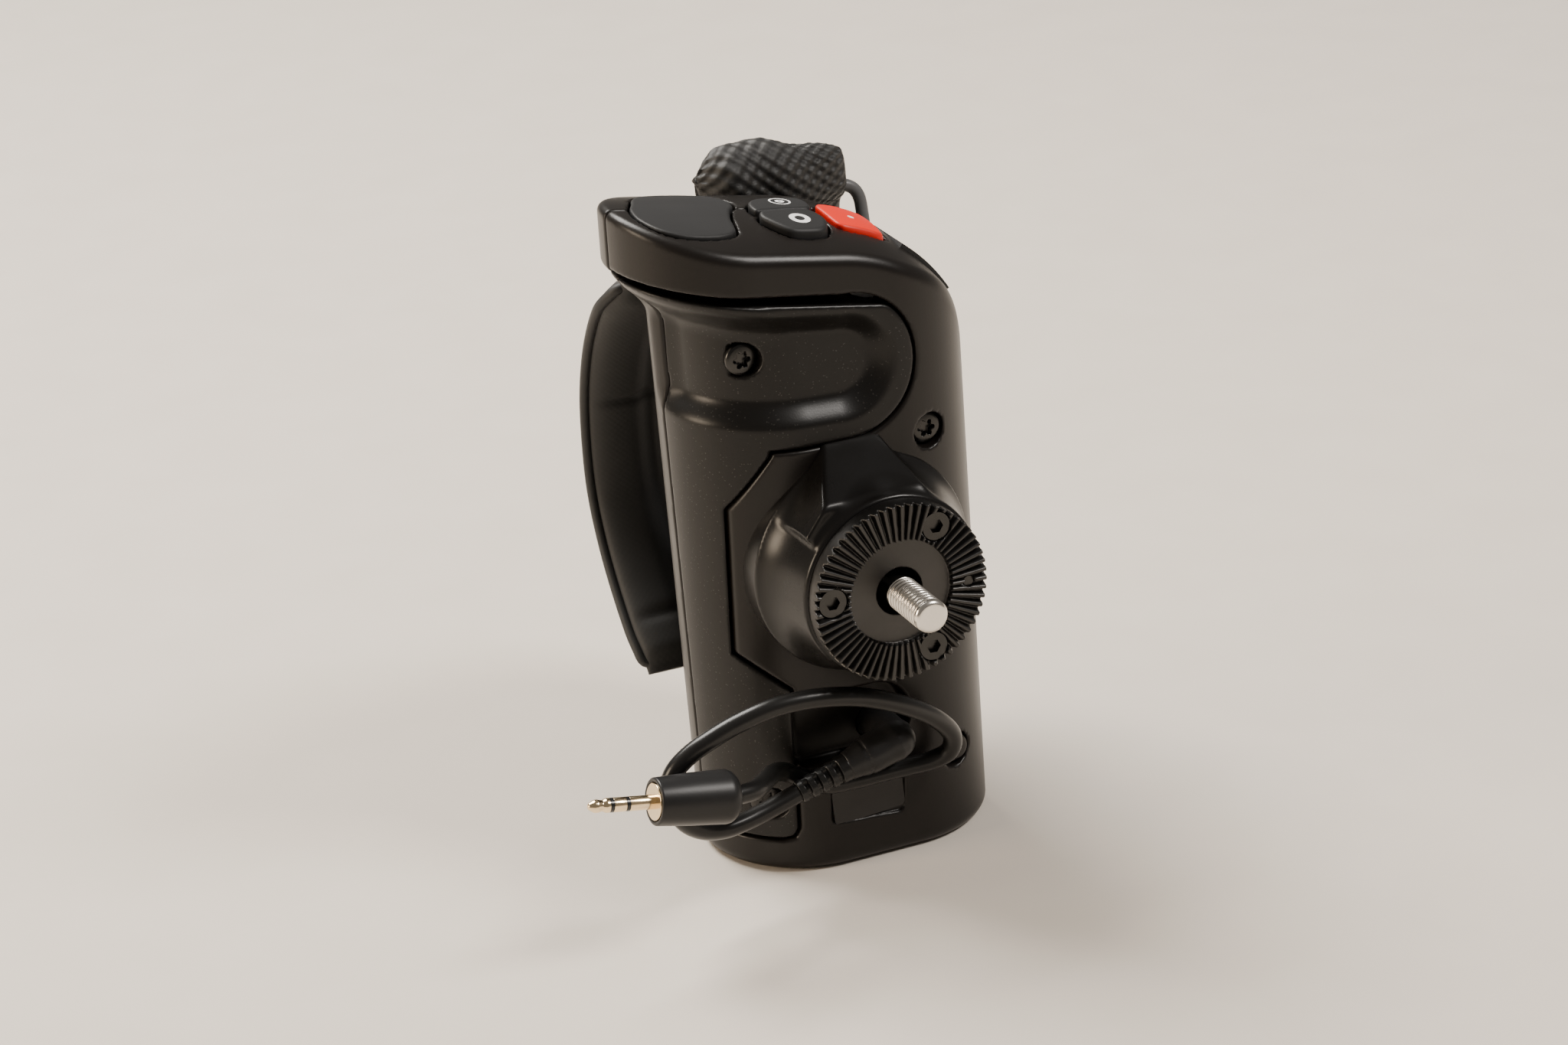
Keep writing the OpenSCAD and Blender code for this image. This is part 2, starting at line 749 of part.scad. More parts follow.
module remote_socket() {
    color("black") difference() {
        union() {
            y_hole([socket_pt[0], socket_pt[2]], 3.5, -pocket_floor, -10);
            translate([socket_pt[0] - 4.5, -12.9, socket_pt[2] - 4.5]) cube([9, 7.6, 9]);
        }
        y_hole([socket_pt[0], socket_pt[2]], jack_d / 2 + 0.05, -20, -6);
    }
}

module socket_board() {
    color("darkgreen") translate([-12, -5.2, 21]) cube([33, 1.2, 13]);
}

// Draws along the elbow's axis: +Z runs from the socket towards the lead
module along_relief() {
    translate(socket_pt) rotate([0, -90 - relief_fall, 0]) children();
}

module elbow_plug() {
    color([0.1, 0.1, 0.1]) {
        y_hole([socket_pt[0], socket_pt[2]], 3.4, -24, -pocket_floor - 0.1);
        translate(socket_pt) sphere(r = 3.5);
        along_relief() cylinder(r = 3.5, h = 5.5);
        along_relief() translate([0, 0, 5.5]) cylinder(r1 = 3.5, r2 = 2.6, h = elbow_l - 5.5);
    }
}

module elbow_contact() {
    color("gold") y_hole([socket_pt[0], socket_pt[2]], jack_d / 2, -pocket_floor - 0.1, -6.2);
}

module strain_relief() {
    color([0.1, 0.1, 0.1]) along_relief() translate([0, 0, elbow_l]) difference() {
        cylinder(r1 = 2.5, r2 = 2, h = relief_l);
        for (i = [0:3]) translate([0, 0, 1.6 + i * 2]) for (s = [-1, 1])
            translate([s * 2 - 1, -4, 0]) cube([2, 8, 0.9]);
    }
}

function unit(v) = v / norm(v);
function spline(p, i, t) = let (a = p[max(i - 1, 0)], b = p[i], c = p[i + 1],
    d = p[min(i + 2, len(p) - 1)])
    0.5 * (2 * b + (c - a) * t + (2 * a - 5 * b + 4 * c - d) * t * t
        + (3 * b - a - 3 * c + d) * t * t * t);
route_points = [for (i = [0:len(lead_route) - 2]) for (t = [0, 0.5]) spline(lead_route, i, t),
    lead_route[len(lead_route) - 1]];

// One round tube along a list of points
module tube_along(p, r, sides) {
    n = len(p);
    rings = [for (i = [0:n - 1]) let (
        along = unit(p[min(i + 1, n - 1)] - p[max(i - 1, 0)]),
        side = unit(cross(along, abs(along[1]) < 0.9 ? [0, 1, 0] : [0, 0, 1])),
        up = cross(side, along))
        for (k = [0:sides - 1]) p[i] + r * (cos(360 * k / sides) * side + sin(360 * k / sides) * up)];
    walls = [for (i = [0:n - 2]) for (k = [0:sides - 1]) let (m = (k + 1) % sides)
        [i * sides + k, i * sides + m, (i + 1) * sides + m, (i + 1) * sides + k]];
    polyhedron(rings, concat(walls, [[for (k = [sides - 1:-1:0]) k]],
        [[for (k = [0:sides - 1]) (n - 1) * sides + k]]));
}

module remote_lead() {
    color([0.05, 0.05, 0.05]) tube_along(route_points, lead_d / 2, 8);
}

// Draws along the jack's axis: +Z runs from the lead towards the tip
module along_jack() {
    translate(housing_pt) rotate([0, -90 + housing_rise, 0]) children();
}

module jack_housing() {
    color([0.12, 0.12, 0.12]) along_jack() difference() {
        union() {
            cylinder(r1 = 3.6, r2 = 4.7, h = 1.5);
            translate([0, 0, 1.5]) cylinder(r1 = 4.7, r2 = 4.1, h = housing_l - 1.5);
        }
        translate([0, 0, housing_l - 1]) cylinder(r = 3.3, h = 2);
    }
}

module jack_washer() {
    color("gold") along_jack() translate([0, 0, housing_l - 1]) cylinder(r = 3.2, h = 1.1);
}

module jack_part(z0, z1) {
    along_jack() translate([0, 0, housing_l + z0]) cylinder(d = jack_d, h = z1 - z0);
}

module jack_sleeve() {
    color("gold") jack_part(0.1, 4.6);
}

module jack_insulators() {
    color("black") {
        jack_part(4.6, 5.3);
        jack_part(7.5, 8.2);
    }
}

module jack_ring() {
    color("gold") jack_part(5.3, 7.5);
}

module jack_tip() {
    color("gold") {
        jack_part(8.2, 8.8);
        along_jack() translate([0, 0, housing_l + 8.8]) {
            cylinder(d1 = jack_d, d2 = 1.9, h = 0.6);
            translate([0, 0, 0.6]) cylinder(d1 = 1.9, d2 = 2.3, h = 1);
            translate([0, 0, 1.6]) cylinder(d1 = 2.3, d2 = 0.9, h = jack_l - 10.4);
        }
    }
}

// Wire ring of a strap: a bar, two legs and two short pins that turn in the lug
module ring_wire(z, lean) {
    w = ring_x1 - ring_x0;
    translate([ring_x0, ring_y, z]) rotate([lean, 0, 0]) {
        translate([0, 0, ring_arm]) rotate([0, 90, 0]) cylinder(r = ring_r, h = w, $fn = 32);
        for (x = [0, w]) {
            translate([x, 0, 0]) cylinder(r = ring_r, h = ring_arm, $fn = 32);
            for (h = [0, ring_arm]) translate([x, 0, h]) sphere(r = ring_r, $fn = 32);
        }
        rotate([0, 90, 0]) cylinder(r = ring_r, h = 8, $fn = 32);
        translate([w - 8, 0, 0]) rotate([0, 90, 0]) cylinder(r = ring_r, h = 8, $fn = 32);
    }
}

module top_strap_ring() {
    color("gray") ring_wire(top_ring_z, -14);
}

module low_strap_ring() {
    color("gray") ring_wire(low_ring_z, -14);
}

// Long round-ended outline from one point to the next, drawn in Y and Z
module round_strip(a, b, r) {
    v = b - a;
    translate(a) circle(r);
    translate(b) circle(r);
    translate(a) rotate(atan2(v[1], v[0])) translate([0, flat_in - r])
        square([norm(v), 2 * (r - flat_in)]);
}

// Webbing folded into a loop round a strap ring's bar, with one end sewn on to the strap's end
module webbing_loop(z, rise, tail, t) {
    bar = [ring_y + ring_arm * sin(14), z + ring_arm * cos(14)];
    translate([webbing_x - webbing_w / 2, 0, 0]) rotate([90, 0, 90]) linear_extrude(webbing_w)
        difference() {
            union() {
                round_strip(bar, bar + rise, 2.6 + t);
                round_strip(bar + rise + [1.2, 0], tail, t / 2 + 0.3);
            }
            round_strip(bar, bar + rise, 2.6);
        }
}

module top_webbing() {
    color([0.04, 0.04, 0.04]) webbing_loop(top_ring_z, [1.2, 5.2], [28, 100.6], 1.3);
}

module low_webbing() {
    color([0.04, 0.04, 0.04]) webbing_loop(low_ring_z, [0.6, -1], [27.6, 22.6], 1.3);
}

// A point of a Y, Z line moved square to it by d
function beside(p, i, d) = let (a = p[max(i - 1, 0)], b = p[min(i + 1, len(p) - 1)],
    v = unit(b - a)) p[i] + d * [-v[1], v[0]];

// Band that follows the strap's line between two offsets from it
module strap_band(p, d0, d1, w, x) {
    n = len(p);
    translate([x - w / 2, 0, 0]) rotate([90, 0, 90]) linear_extrude(w)
        polygon([for (i = [0:n - 1]) beside(p, i, d0), for (i = [n - 1:-1:0]) beside(p, i, d1)]);
}

module strap_pad() {
    color([0.05, 0.05, 0.05]) strap_band(pad_line, -pad_t / 2, pad_t / 2, pad_w, pad_x);
}

module strap_flap() {
    inner = [for (i = [1:len(pad_line) - 2]) pad_line[i]];
    color([0.05, 0.05, 0.05]) strap_band(inner, pad_t / 2 + 0.05, pad_t / 2 + 1.6, webbing_w + 4, webbing_x);
}

front_shell();
rear_shell();
grip_panel();
boss_block();
rosette_ring();
rosette_screws();
locating_pin();
chassis_plate();
chassis_screws();
shell_screws();
panel_screws();
fixing_washer();
fixing_screw();
retaining_ring();
label_plate();
thumb_rest();
zoom_rocker();
rocker_pin();
rocker_cradle();
rocker_spring();
zoom_sensor();
record_button();
focus_button();
iris_button();
record_switch();
focus_switch();
iris_switch();
key_board();
key_board_screws();
ribbon_cable();
socket_board();
remote_socket();
elbow_plug();
elbow_contact();
strain_relief();
remote_lead();
jack_housing();
jack_washer();
jack_sleeve();
jack_ring();
jack_tip();
jack_insulators();
top_strap_ring();
low_strap_ring();
top_webbing();
low_webbing();
strap_pad();
strap_flap();
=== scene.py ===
import json
import math

import bpy
import numpy as np
from mathutils import Matrix, Vector


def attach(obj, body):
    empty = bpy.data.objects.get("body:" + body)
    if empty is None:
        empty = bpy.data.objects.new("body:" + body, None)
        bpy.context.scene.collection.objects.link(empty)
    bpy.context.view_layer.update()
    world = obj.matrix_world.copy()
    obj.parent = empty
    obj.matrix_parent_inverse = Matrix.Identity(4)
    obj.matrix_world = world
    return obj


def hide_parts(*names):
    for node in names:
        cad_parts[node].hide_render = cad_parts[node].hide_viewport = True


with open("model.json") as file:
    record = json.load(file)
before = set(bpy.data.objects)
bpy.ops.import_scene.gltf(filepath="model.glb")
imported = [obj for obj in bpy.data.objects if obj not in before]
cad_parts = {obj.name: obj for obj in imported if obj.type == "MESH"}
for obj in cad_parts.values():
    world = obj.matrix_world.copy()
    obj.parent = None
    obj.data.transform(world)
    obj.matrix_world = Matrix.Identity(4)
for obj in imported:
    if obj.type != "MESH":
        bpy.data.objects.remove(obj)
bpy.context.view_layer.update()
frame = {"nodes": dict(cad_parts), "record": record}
MM = 0.001

# ---- sizes shared with the body
HALF = 19.0
BASE_LEFT, BASE_RIGHT = -26.5, 26.5
LEAN_LEFT, LEAN_RIGHT = 0.03, 0.012
TILT = math.radians(10.2)
TOP_X, TOP_Z = -16.0, 118.5
SHOULDER_R = 34.0
SHOULDER_X = BASE_RIGHT - LEAN_RIGHT * 85 - SHOULDER_R + 0.4
TANGENT_X = SHOULDER_X + SHOULDER_R * math.sin(TILT)
SHOULDER_Z = TOP_Z - math.tan(TILT) * (TANGENT_X - TOP_X) - SHOULDER_R * math.cos(TILT)
CROWN_R = 56.0
HEAD_LEFT, HEAD_UNDER = -37.0, 107.3
LIP_LEFT, LIP_TOP = -36.0, 106.7
GROOVE_LEFT = -33.0
ROSETTE_X, ROSETTE_Z, ROSETTE_FACE = -2.0, 57.5, -35.0
ROSETTE_TURN = math.radians(3.9)
TEETH, TOOTHED_R, SUNK_R, BORE_R = 60, 15.875, 9.4, 4.25
SCREW_CIRCLE = 12.66
PANEL_GAP = 0.45
HALVES_GAP = 0.14
OPENING_GAP, OPENING_DEEP = 0.42, 3.6
KEY_FOOT, ROCKER_FOOT = 2.6, 2.4
SCREW_R = 2.75
SHELL_SCREWS = [(12.3, 78.2), (14.7, 16.5)]
PANEL_SCREWS = [(-19.6, 96.3), (-20.2, 13.7)]
SOCKET = np.array([0.2, -24.0, 24.9])
RELIEF_TIP = np.array([-18.6, -24.0, 19.5])
HOUSING = np.array([-34.4, -34.0, 27.4])
HOUSING_L, JACK_L = 15.0, 12.0
ELBOW_L, RELIEF_L = 10.0, 9.56
LEAD_D = 3.4
RING_Y, RING_ARM, RING_LEAN = 21.8, 11.3, math.radians(14)
RING_Z = {"top": 98.5, "low": 8.5}
RING_LEFT, RING_RIGHT, RING_R = -9.0, 20.4, 1.15
WEBBING_X, WEBBING_WIDTH, WEBBING_THICK, THREAD_PITCH = 5.7, 25, 1.5, 1.3
BAND_WIDTH, BAND_THICK, BAND_OUT = 27, 1.4, 4.5
PAD_X, PAD_HALF, PAD_THICK, PAD_STEP = -2.0, 24.6, 4.15, 0.7

# ---- camera
FOCAL_LENGTH, PICTURE_WIDTH, SENSOR_WIDTH = 5600, 2048, 36
AZIMUTH, PITCH, ROLL = (math.radians(a) for a in (22.815, 23.115, -3.608))
EYE = Vector((-0.27507, -0.63459, 0.35294))


def stand_camera():
    """Camera of a three-quarter view from the front left and above."""
    view = Vector((math.sin(AZIMUTH) * math.cos(PITCH), math.cos(AZIMUTH) * math.cos(PITCH),
                   -math.sin(PITCH)))
    right = Vector((math.cos(AZIMUTH), -math.sin(AZIMUTH), 0))
    up = right.cross(view)
    x_axis = math.cos(ROLL) * right + math.sin(ROLL) * up
    y_axis = -math.sin(ROLL) * right + math.cos(ROLL) * up
    data = bpy.data.cameras.new("camera")
    data.sensor_width = SENSOR_WIDTH
    data.lens = FOCAL_LENGTH / PICTURE_WIDTH * SENSOR_WIDTH
    data.clip_start = 0.05
    camera = bpy.data.objects.new("camera", data)
    bpy.context.scene.collection.objects.link(camera)
    turn = Matrix((x_axis, y_axis, -view)).transposed().to_4x4()
    camera.matrix_world = Matrix.Translation(EYE) @ turn
    bpy.context.scene.camera = camera


stand_camera()


# ---- shaping
def smooth(t):
    """Eases from 0 to 1 with level ends."""
    t = np.clip(t, 0, 1)
    return t * t * (3 - 2 * t)


def meet(a, b, r):
    """Where two solids overlap, with the shared edge rolled to radius r."""
    return (np.minimum(np.maximum(a, b), -r)
            + np.hypot(np.maximum(a + r, 0), np.maximum(b + r, 0)))


def join(a, b, r):
    """Two solids together, with a fillet of radius r where they cross."""
    return -meet(-a, -b, r)


def unit(v):
    """Vectors scaled to length one."""
    v = np.asarray(v, float)
    return v / np.linalg.norm(v, axis=-1, keepdims=True)


def through(points, per=6, closed=False):
    """Smooth line through the points: each stretch is a cubic whose slope at a point is half the
    step between its neighbours."""
    p = np.asarray(points, float)
    n = len(p)
    if closed:
        a, b, c, d = (np.roll(p, k, axis=0) for k in (1, 0, -1, -2))
    else:
        i = np.arange(n - 1)
        a, b, c, d = p[np.maximum(i - 1, 0)], p[i], p[i + 1], p[np.minimum(i + 2, n - 1)]
    t = (np.arange(per) / per)[None, :, None]
    a, b, c, d = (q[:, None, :] for q in (a, b, c, d))
    line = 0.5 * (2 * b + (c - a) * t + (2 * a - 5 * b + 4 * c - d) * t ** 2
                  + (3 * b - a - 3 * c + d) * t ** 3)
    line = line.reshape(-1, p.shape[1])
    return line if closed else np.vstack([line, p[-1]])


def lengths(points):
    """Length of a line from its start to each of its points."""
    return np.insert(np.cumsum(np.linalg.norm(np.diff(points, axis=0), axis=1)), 0, 0)


def resampled(points, at):
    """Points of a line at the given lengths from its start."""
    far = lengths(points)
    return np.stack([np.interp(at, far, column) for column in points.T], 1)


def rolled(points, r, steps=5):
    """Corners of a line replaced by short curves that start r away from the corner."""
    p = np.asarray(points, float)
    before, corner, after = p[:-2], p[1:-1], p[2:]
    back, on = before - corner, after - corner
    back_l = np.linalg.norm(back, axis=1, keepdims=True)
    on_l = np.linalg.norm(on, axis=1, keepdims=True)
    cut = np.minimum(r, np.minimum(back_l, on_l) * 0.49)
    start, end = corner + back / back_l * cut, corner + on / on_l * cut
    t = np.linspace(0, 1, steps)[None, :, None]
    arc = ((1 - t) ** 2 * start[:, None] + 2 * t * (1 - t) * corner[:, None]
           + t ** 2 * end[:, None])
    return np.vstack([p[:1], arc.reshape(-1, p.shape[1]), p[-1:]])


def outline_distance(px, pz, outline):
    """Distance to a closed outline: the nearest of its edges, negative inside."""
    best, inside = 1e9, False
    for (ax, az), (bx, bz) in zip(outline, np.roll(outline, -1, axis=0)):
        ex, ez = bx - ax, bz - az
        wx, wz = px - ax, pz - az
        t = np.clip((wx * ex + wz * ez) / (ex * ex + ez * ez), 0, 1)
        best = np.minimum(best, (wx - ex * t) ** 2 + (wz - ez * t) ** 2)
        level = ez if abs(ez) > 1e-9 else 1e-9
        inside = inside ^ (((az > pz) != (bz > pz)) & (px < ex * (pz - az) / level + ax))
    return np.where(inside, -1, 1) * np.sqrt(best)


def skin(field, low, high, step):
    """Surface where field is zero. Each grid cube that it passes through gets one point, at the
    mean of its crossed edges, and each crossed edge gets one face between its four cubes. The
    points are then slid down the field's slope on to the surface."""
    axes = [np.arange(a, b + step, step, dtype=np.float32) for a, b in zip(low, high)]
    f = np.broadcast_to(field(axes[0][:, None, None], axes[1][None, :, None],
                              axes[2][None, None, :]), [len(a) for a in axes]).astype(np.float32)
    solid = f < 0
    corner = np.array([(x, y, z) for x in (0, 1) for y in (0, 1) for z in (0, 1)])
    full = np.zeros([n - 1 for n in f.shape], np.uint8)
    for c in corner:
        full += solid[tuple(slice(k, n - 1 + k) for k, n in zip(c, f.shape))]
    crossed = (full > 0) & (full < 8)
    cubes = np.argwhere(crossed)
    number = np.full(full.shape, -1, np.int32)
    number[crossed] = np.arange(len(cubes))
    v = f[tuple(cubes[:, k, None] + corner[:, k] for k in range(3))]
    total, count = np.zeros((len(cubes), 3)), np.zeros(len(cubes))
    edges = [(a, b) for a in range(8) for b in range(a + 1, 8)
             if abs(corner[a] - corner[b]).sum() == 1]
    for a, b in edges:
        cut = (v[:, a] < 0) != (v[:, b] < 0)
        t = np.where(cut, v[:, a] / np.where(cut, v[:, a] - v[:, b], 1), 0)
        total += cut[:, None] * (corner[a] + t[:, None] * (corner[b] - corner[a]))
        count += cut
    points = np.array([a[0] for a in axes]) + step * (cubes + total / count[:, None])
    quads = []
    for a in range(3):
        b, c = (a + 1) % 3, (a + 2) % 3
        sides = [[slice(None)] * 3 for _ in range(2)]
        for k in (b, c):
            sides[0][k] = sides[1][k] = slice(1, -1)
        sides[0][a], sides[1][a] = slice(0, -1), slice(1, None)
        first, second = solid[tuple(sides[0])], solid[tuple(sides[1])]
        for mask, order in ((first & ~second, (0, 1, 2, 3)), (~first & second, (0, 3, 2, 1))):
            edge = np.argwhere(mask)
            around = []
            for db, dc in ((0, 0), (1, 0), (1, 1), (0, 1)):
                cube = edge.copy()
                cube[:, b] += db
                cube[:, c] += dc
                around.append(number[tuple(cube.T)])
            quads.append(np.stack(around, 1)[:, order])
    h = 0.04
    for _ in range(3):
        here = field(*points.T)
        slope = np.stack([(field(*(points + h * np.eye(3)[k]).T) - here) / h
                          for k in range(3)], 1)
        move = slope * (here / np.maximum((slope ** 2).sum(1), 0.2))[:, None]
        size = np.linalg.norm(move, axis=1, keepdims=True)
        points = points - move * np.minimum(1, 0.4 * step / np.maximum(size, 1e-9))
    return points, np.vstack(quads)


def grid_faces(rows, columns, closed_rows=False, closed_columns=False):
    """Faces of a grid of points numbered row by row."""
    r = np.arange(rows if closed_rows else rows - 1)[:, None]
    c = np.arange(columns if closed_columns else columns - 1)[None, :]
    r1, c1 = (r + 1) % rows, (c + 1) % columns
    return np.stack([r * columns + c, r * columns + c1, r1 * columns + c1,
                     r1 * columns + c], -1).reshape(-1, 4)


def capped(rings):
    """Rings of points joined into a closed skin, with a middle point closing each end."""
    n, sides = rings.shape[:2]
    points = np.vstack([rings.reshape(-1, 3), rings[0].mean(0), rings[-1].mean(0)])
    k = np.arange(sides)
    k1 = (k + 1) % sides
    first, last = n * sides, n * sides + 1
    faces = grid_faces(n, sides, closed_columns=True).tolist()
    faces += np.stack([np.full(sides, first), k1, k], 1).tolist()
    faces += np.stack([np.full(sides, last), (n - 1) * sides + k, (n - 1) * sides + k1],
                      1).tolist()
    return points, faces


def turned(profile, origin, axis, sides=64, shape=None):
    """Profile of (distance, radius) pairs turned about an axis. shape changes both by angle."""
    p = np.asarray(profile, float)
    angle = np.linspace(0, 2 * np.pi, sides, endpoint=False)[None, :]
    d, r = p[:, :1] + 0 * angle, p[:, 1:] + 0 * angle
    if shape:
        d, r = shape(d, r, angle + 0 * d)
    a = unit(axis)
    b = unit(np.cross(a, [0, 1, 0] if abs(a[1]) < 0.9 else [0, 0, 1]))
    c = np.cross(a, b)
    rings = (np.asarray(origin) + d[..., None] * a
             + r[..., None] * (np.cos(angle)[..., None] * b + np.sin(angle)[..., None] * c))
    return capped(rings)


def tube_rings(path, radius, sides, beside=(0, 1, 0)):
    """Circles of the given radius square to a path, one at each of its points."""
    p = np.asarray(path, float)
    along = unit(np.gradient(p, axis=0))
    side = unit(np.cross(along, beside))
    up = np.cross(side, along)
    angle = np.linspace(0, 2 * np.pi, sides, endpoint=False)[None, :, None]
    radius = np.broadcast_to(radius, len(p))[:, None, None]
    return p[:, None] + radius * (np.cos(angle) * side[:, None] - np.sin(angle) * up[:, None])


def make(name, points, faces, body, slot, stands_for=(), uv=None, finish=None):
    """Mesh from points in millimetres, riding on a body and standing for CAD nodes. Its finish is
    the one of its slot unless another is named."""
    mesh = bpy.data.meshes.new(name)
    if isinstance(faces, list):
        mesh.from_pydata((np.asarray(points) * MM).tolist(), [], faces)
    else:
        mesh.vertices.add(len(points))
        mesh.vertices.foreach_set("co", (points * MM).astype(np.float32).ravel())
        mesh.loops.add(faces.size)
        mesh.loops.foreach_set("vertex_index", faces.astype(np.int32).ravel())
        mesh.polygons.add(len(faces))
        mesh.polygons.foreach_set("loop_start", np.arange(0, faces.size, 4, dtype=np.int32))
        mesh.update(calc_edges=True)
    mesh.validate()
    if uv is not None:
        layer = mesh.uv_layers.new(name="cloth")
        corner = np.empty(len(mesh.loops), np.int32)
        mesh.loops.foreach_get("vertex_index", corner)
        layer.data.foreach_set("uv", np.asarray(uv, np.float32)[corner].ravel())
    mesh.polygons.foreach_set("use_smooth", np.ones(len(mesh.polygons), bool))
    mesh.materials.append(FINISHES[finish or slot])
    mesh.update()
    piece = bpy.data.objects.new(name, mesh)
    bpy.context.scene.collection.objects.link(piece)
    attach(piece, body)
    if stands_for:
        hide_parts(*stands_for)
    return piece


# ---- finishes
def start_material(name):
    """A material with an empty node tree, its output and its surface shader."""
    material = bpy.data.materials.new(name)
    material.use_nodes = True
    nodes, links = material.node_tree.nodes, material.node_tree.links
    nodes.clear()
    output = nodes.new("ShaderNodeOutputMaterial")
    output.label = "finished surface"
    output.location = (1100, 0)
    surface = nodes.new("ShaderNodeBsdfPrincipled")
    surface.label = "surface"
    surface.location = (800, 0)
    links.new(surface.outputs["BSDF"], output.inputs["Surface"])
    place = nodes.new("ShaderNodeTexCoord")
    place.label = "place on the piece"
    place.location = (-1100, 0)
    return material, nodes, links, surface, place


def frame_nodes(nodes, label, members, x, y):
    """Groups the nodes of one effect under a label and sets them out in a row."""
    group = nodes.new("NodeFrame")
    group.label = label
    for i, node in enumerate(members):
        node.parent = group
        node.location = (x + 190 * i, y)


def grained(nodes, links, surface, coordinates, label, noise, relief):
    """Fine grain that stands up from the surface. noise is its scale, detail and roughness,
    relief its strength and its depth in metres."""
    grain = nodes.new("ShaderNodeTexNoise")
    grain.label = label
    grain.inputs["Scale"].default_value = noise[0]
    grain.inputs["Detail"].default_value = noise[1]
    grain.inputs["Roughness"].default_value = noise[2]
    lift = nodes.new("ShaderNodeBump")
    lift.label = "in relief"
    lift.inputs["Strength"].default_value = relief[0]
    lift.inputs["Distance"].default_value = relief[1]
    links.new(coordinates, grain.inputs["Vector"])
    links.new(grain.outputs["Fac"], lift.inputs["Height"])
    links.new(lift.outputs["Normal"], surface.inputs["Normal"])
    frame_nodes(nodes, label, (grain, lift), -800, -420)


def patchy(nodes, links, surface, place, label, size, detail, tones, roughness):
    """Patches that mix two tones and move the roughness between two values."""
    patch = nodes.new("ShaderNodeTexNoise")
    patch.label = label
    patch.inputs["Scale"].default_value = size
    patch.inputs["Detail"].default_value = detail
    tone = nodes.new("ShaderNodeMix")
    tone.label = "two tones"
    tone.data_type = "RGBA"
    tone.inputs["A"].default_value = (*tones[0], 1)
    tone.inputs["B"].default_value = (*tones[1], 1)
    spread = nodes.new("ShaderNodeMapRange")
    spread.label = "how rough it is"
    spread.inputs["To Min"].default_value = roughness[0]
    spread.inputs["To Max"].default_value = roughness[1]
    links.new(place.outputs["Object"], patch.inputs["Vector"])
    links.new(patch.outputs["Fac"], tone.inputs["Factor"])
    links.new(patch.outputs["Fac"], spread.inputs["Value"])
    links.new(spread.outputs["Result"], surface.inputs["Roughness"])
    frame_nodes(nodes, label, (patch, tone, spread), -800, 320)
    return tone.outputs["Result"]


def moulding(name, colour, worn, roughness, grain, relief, sparkle=0.0, coat=0.0, mark=None):
    """Moulded plastic or rubber: fine spark grain in relief, cloudy tone, faint sparkle.
    grain is the number of grains in a metre, relief the depth of the grain in metres."""
    material, nodes, links, surface, place = start_material(name)
    surface.inputs["Coat Weight"].default_value = coat
    surface.inputs["Coat Roughness"].default_value = 0.25
    surface.inputs["IOR"].default_value = 1.5
    surface.inputs["Specular IOR Level"].default_value = 0.27

    grained(nodes, links, surface, place.outputs["Object"], "moulded grain",
            (grain, 3, 0.6), (0.55, relief))
    shown = patchy(nodes, links, surface, place, "handling marks", 55, 6, (colour, worn),
                   (roughness - 0.06, roughness + 0.08))

    if sparkle:
        speck = nodes.new("ShaderNodeTexVoronoi")
        speck.label = "specks in the paint"
        speck.inputs["Scale"].default_value = 5200
        pick = nodes.new("ShaderNodeSeparateColor")
        pick.label = "one value for each speck"
        few = nodes.new("ShaderNodeMath")
        few.label = "only a few specks"
        few.operation = "GREATER_THAN"
        few.inputs[1].default_value = 0.985
        amount = nodes.new("ShaderNodeMath")
        amount.label = "how bright the specks are"
        amount.operation = "MULTIPLY"
        amount.inputs[1].default_value = sparkle
        bright = nodes.new("ShaderNodeMix")
        bright.label = "specks on the tone"
        bright.data_type = "RGBA"
        bright.inputs["B"].default_value = (0.5, 0.48, 0.45, 1)
        links.new(place.outputs["Object"], speck.inputs["Vector"])
        links.new(speck.outputs["Color"], pick.inputs["Color"])
        links.new(pick.outputs["Red"], few.inputs[0])
        links.new(few.outputs["Value"], amount.inputs[0])
        links.new(amount.outputs["Value"], bright.inputs["Factor"])
        links.new(shown, bright.inputs["A"])
        shown = bright.outputs["Result"]
        frame_nodes(nodes, "sparkle", (speck, pick, few, amount, bright), -800, 700)

    if mark:
        (mx, my), rings, ink = mark
        centre = nodes.new("ShaderNodeMapping")
        centre.label = "centred on the mark"
        centre.inputs["Location"].default_value = (-mx * MM, -my * MM, 0)
        flat = nodes.new("ShaderNodeVectorMath")
        flat.label = "seen from above"
        flat.operation = "MULTIPLY"
        flat.inputs[1].default_value = (1 / MM, 1 / MM, 0)
        away = nodes.new("ShaderNodeVectorMath")
        away.label = "distance from the middle"
        away.operation = "LENGTH"
        links.new(place.outputs["Object"], centre.inputs["Vector"])
        links.new(centre.outputs["Vector"], flat.inputs[0])
        links.new(flat.outputs["Vector"], away.inputs[0])
        used = [centre, flat, away]
        for radius, width in rings:
            band = nodes.new("ShaderNodeMath")
            band.label = "ring of the mark"
            band.operation = "COMPARE"
            band.inputs[1].default_value = radius
            band.inputs[2].default_value = width / 2
            printed = nodes.new("ShaderNodeMix")
            printed.label = "printed ring"
            printed.data_type = "RGBA"
            printed.inputs["B"].default_value = (*ink, 1)
            links.new(away.outputs["Value"], band.inputs[0])
            links.new(band.outputs["Value"], printed.inputs["Factor"])
            links.new(shown, printed.inputs["A"])
            shown = printed.outputs["Result"]
            used += [band, printed]
        frame_nodes(nodes, "printed mark", used, -800, 1100)
    links.new(shown, surface.inputs["Base Color"])
    return material


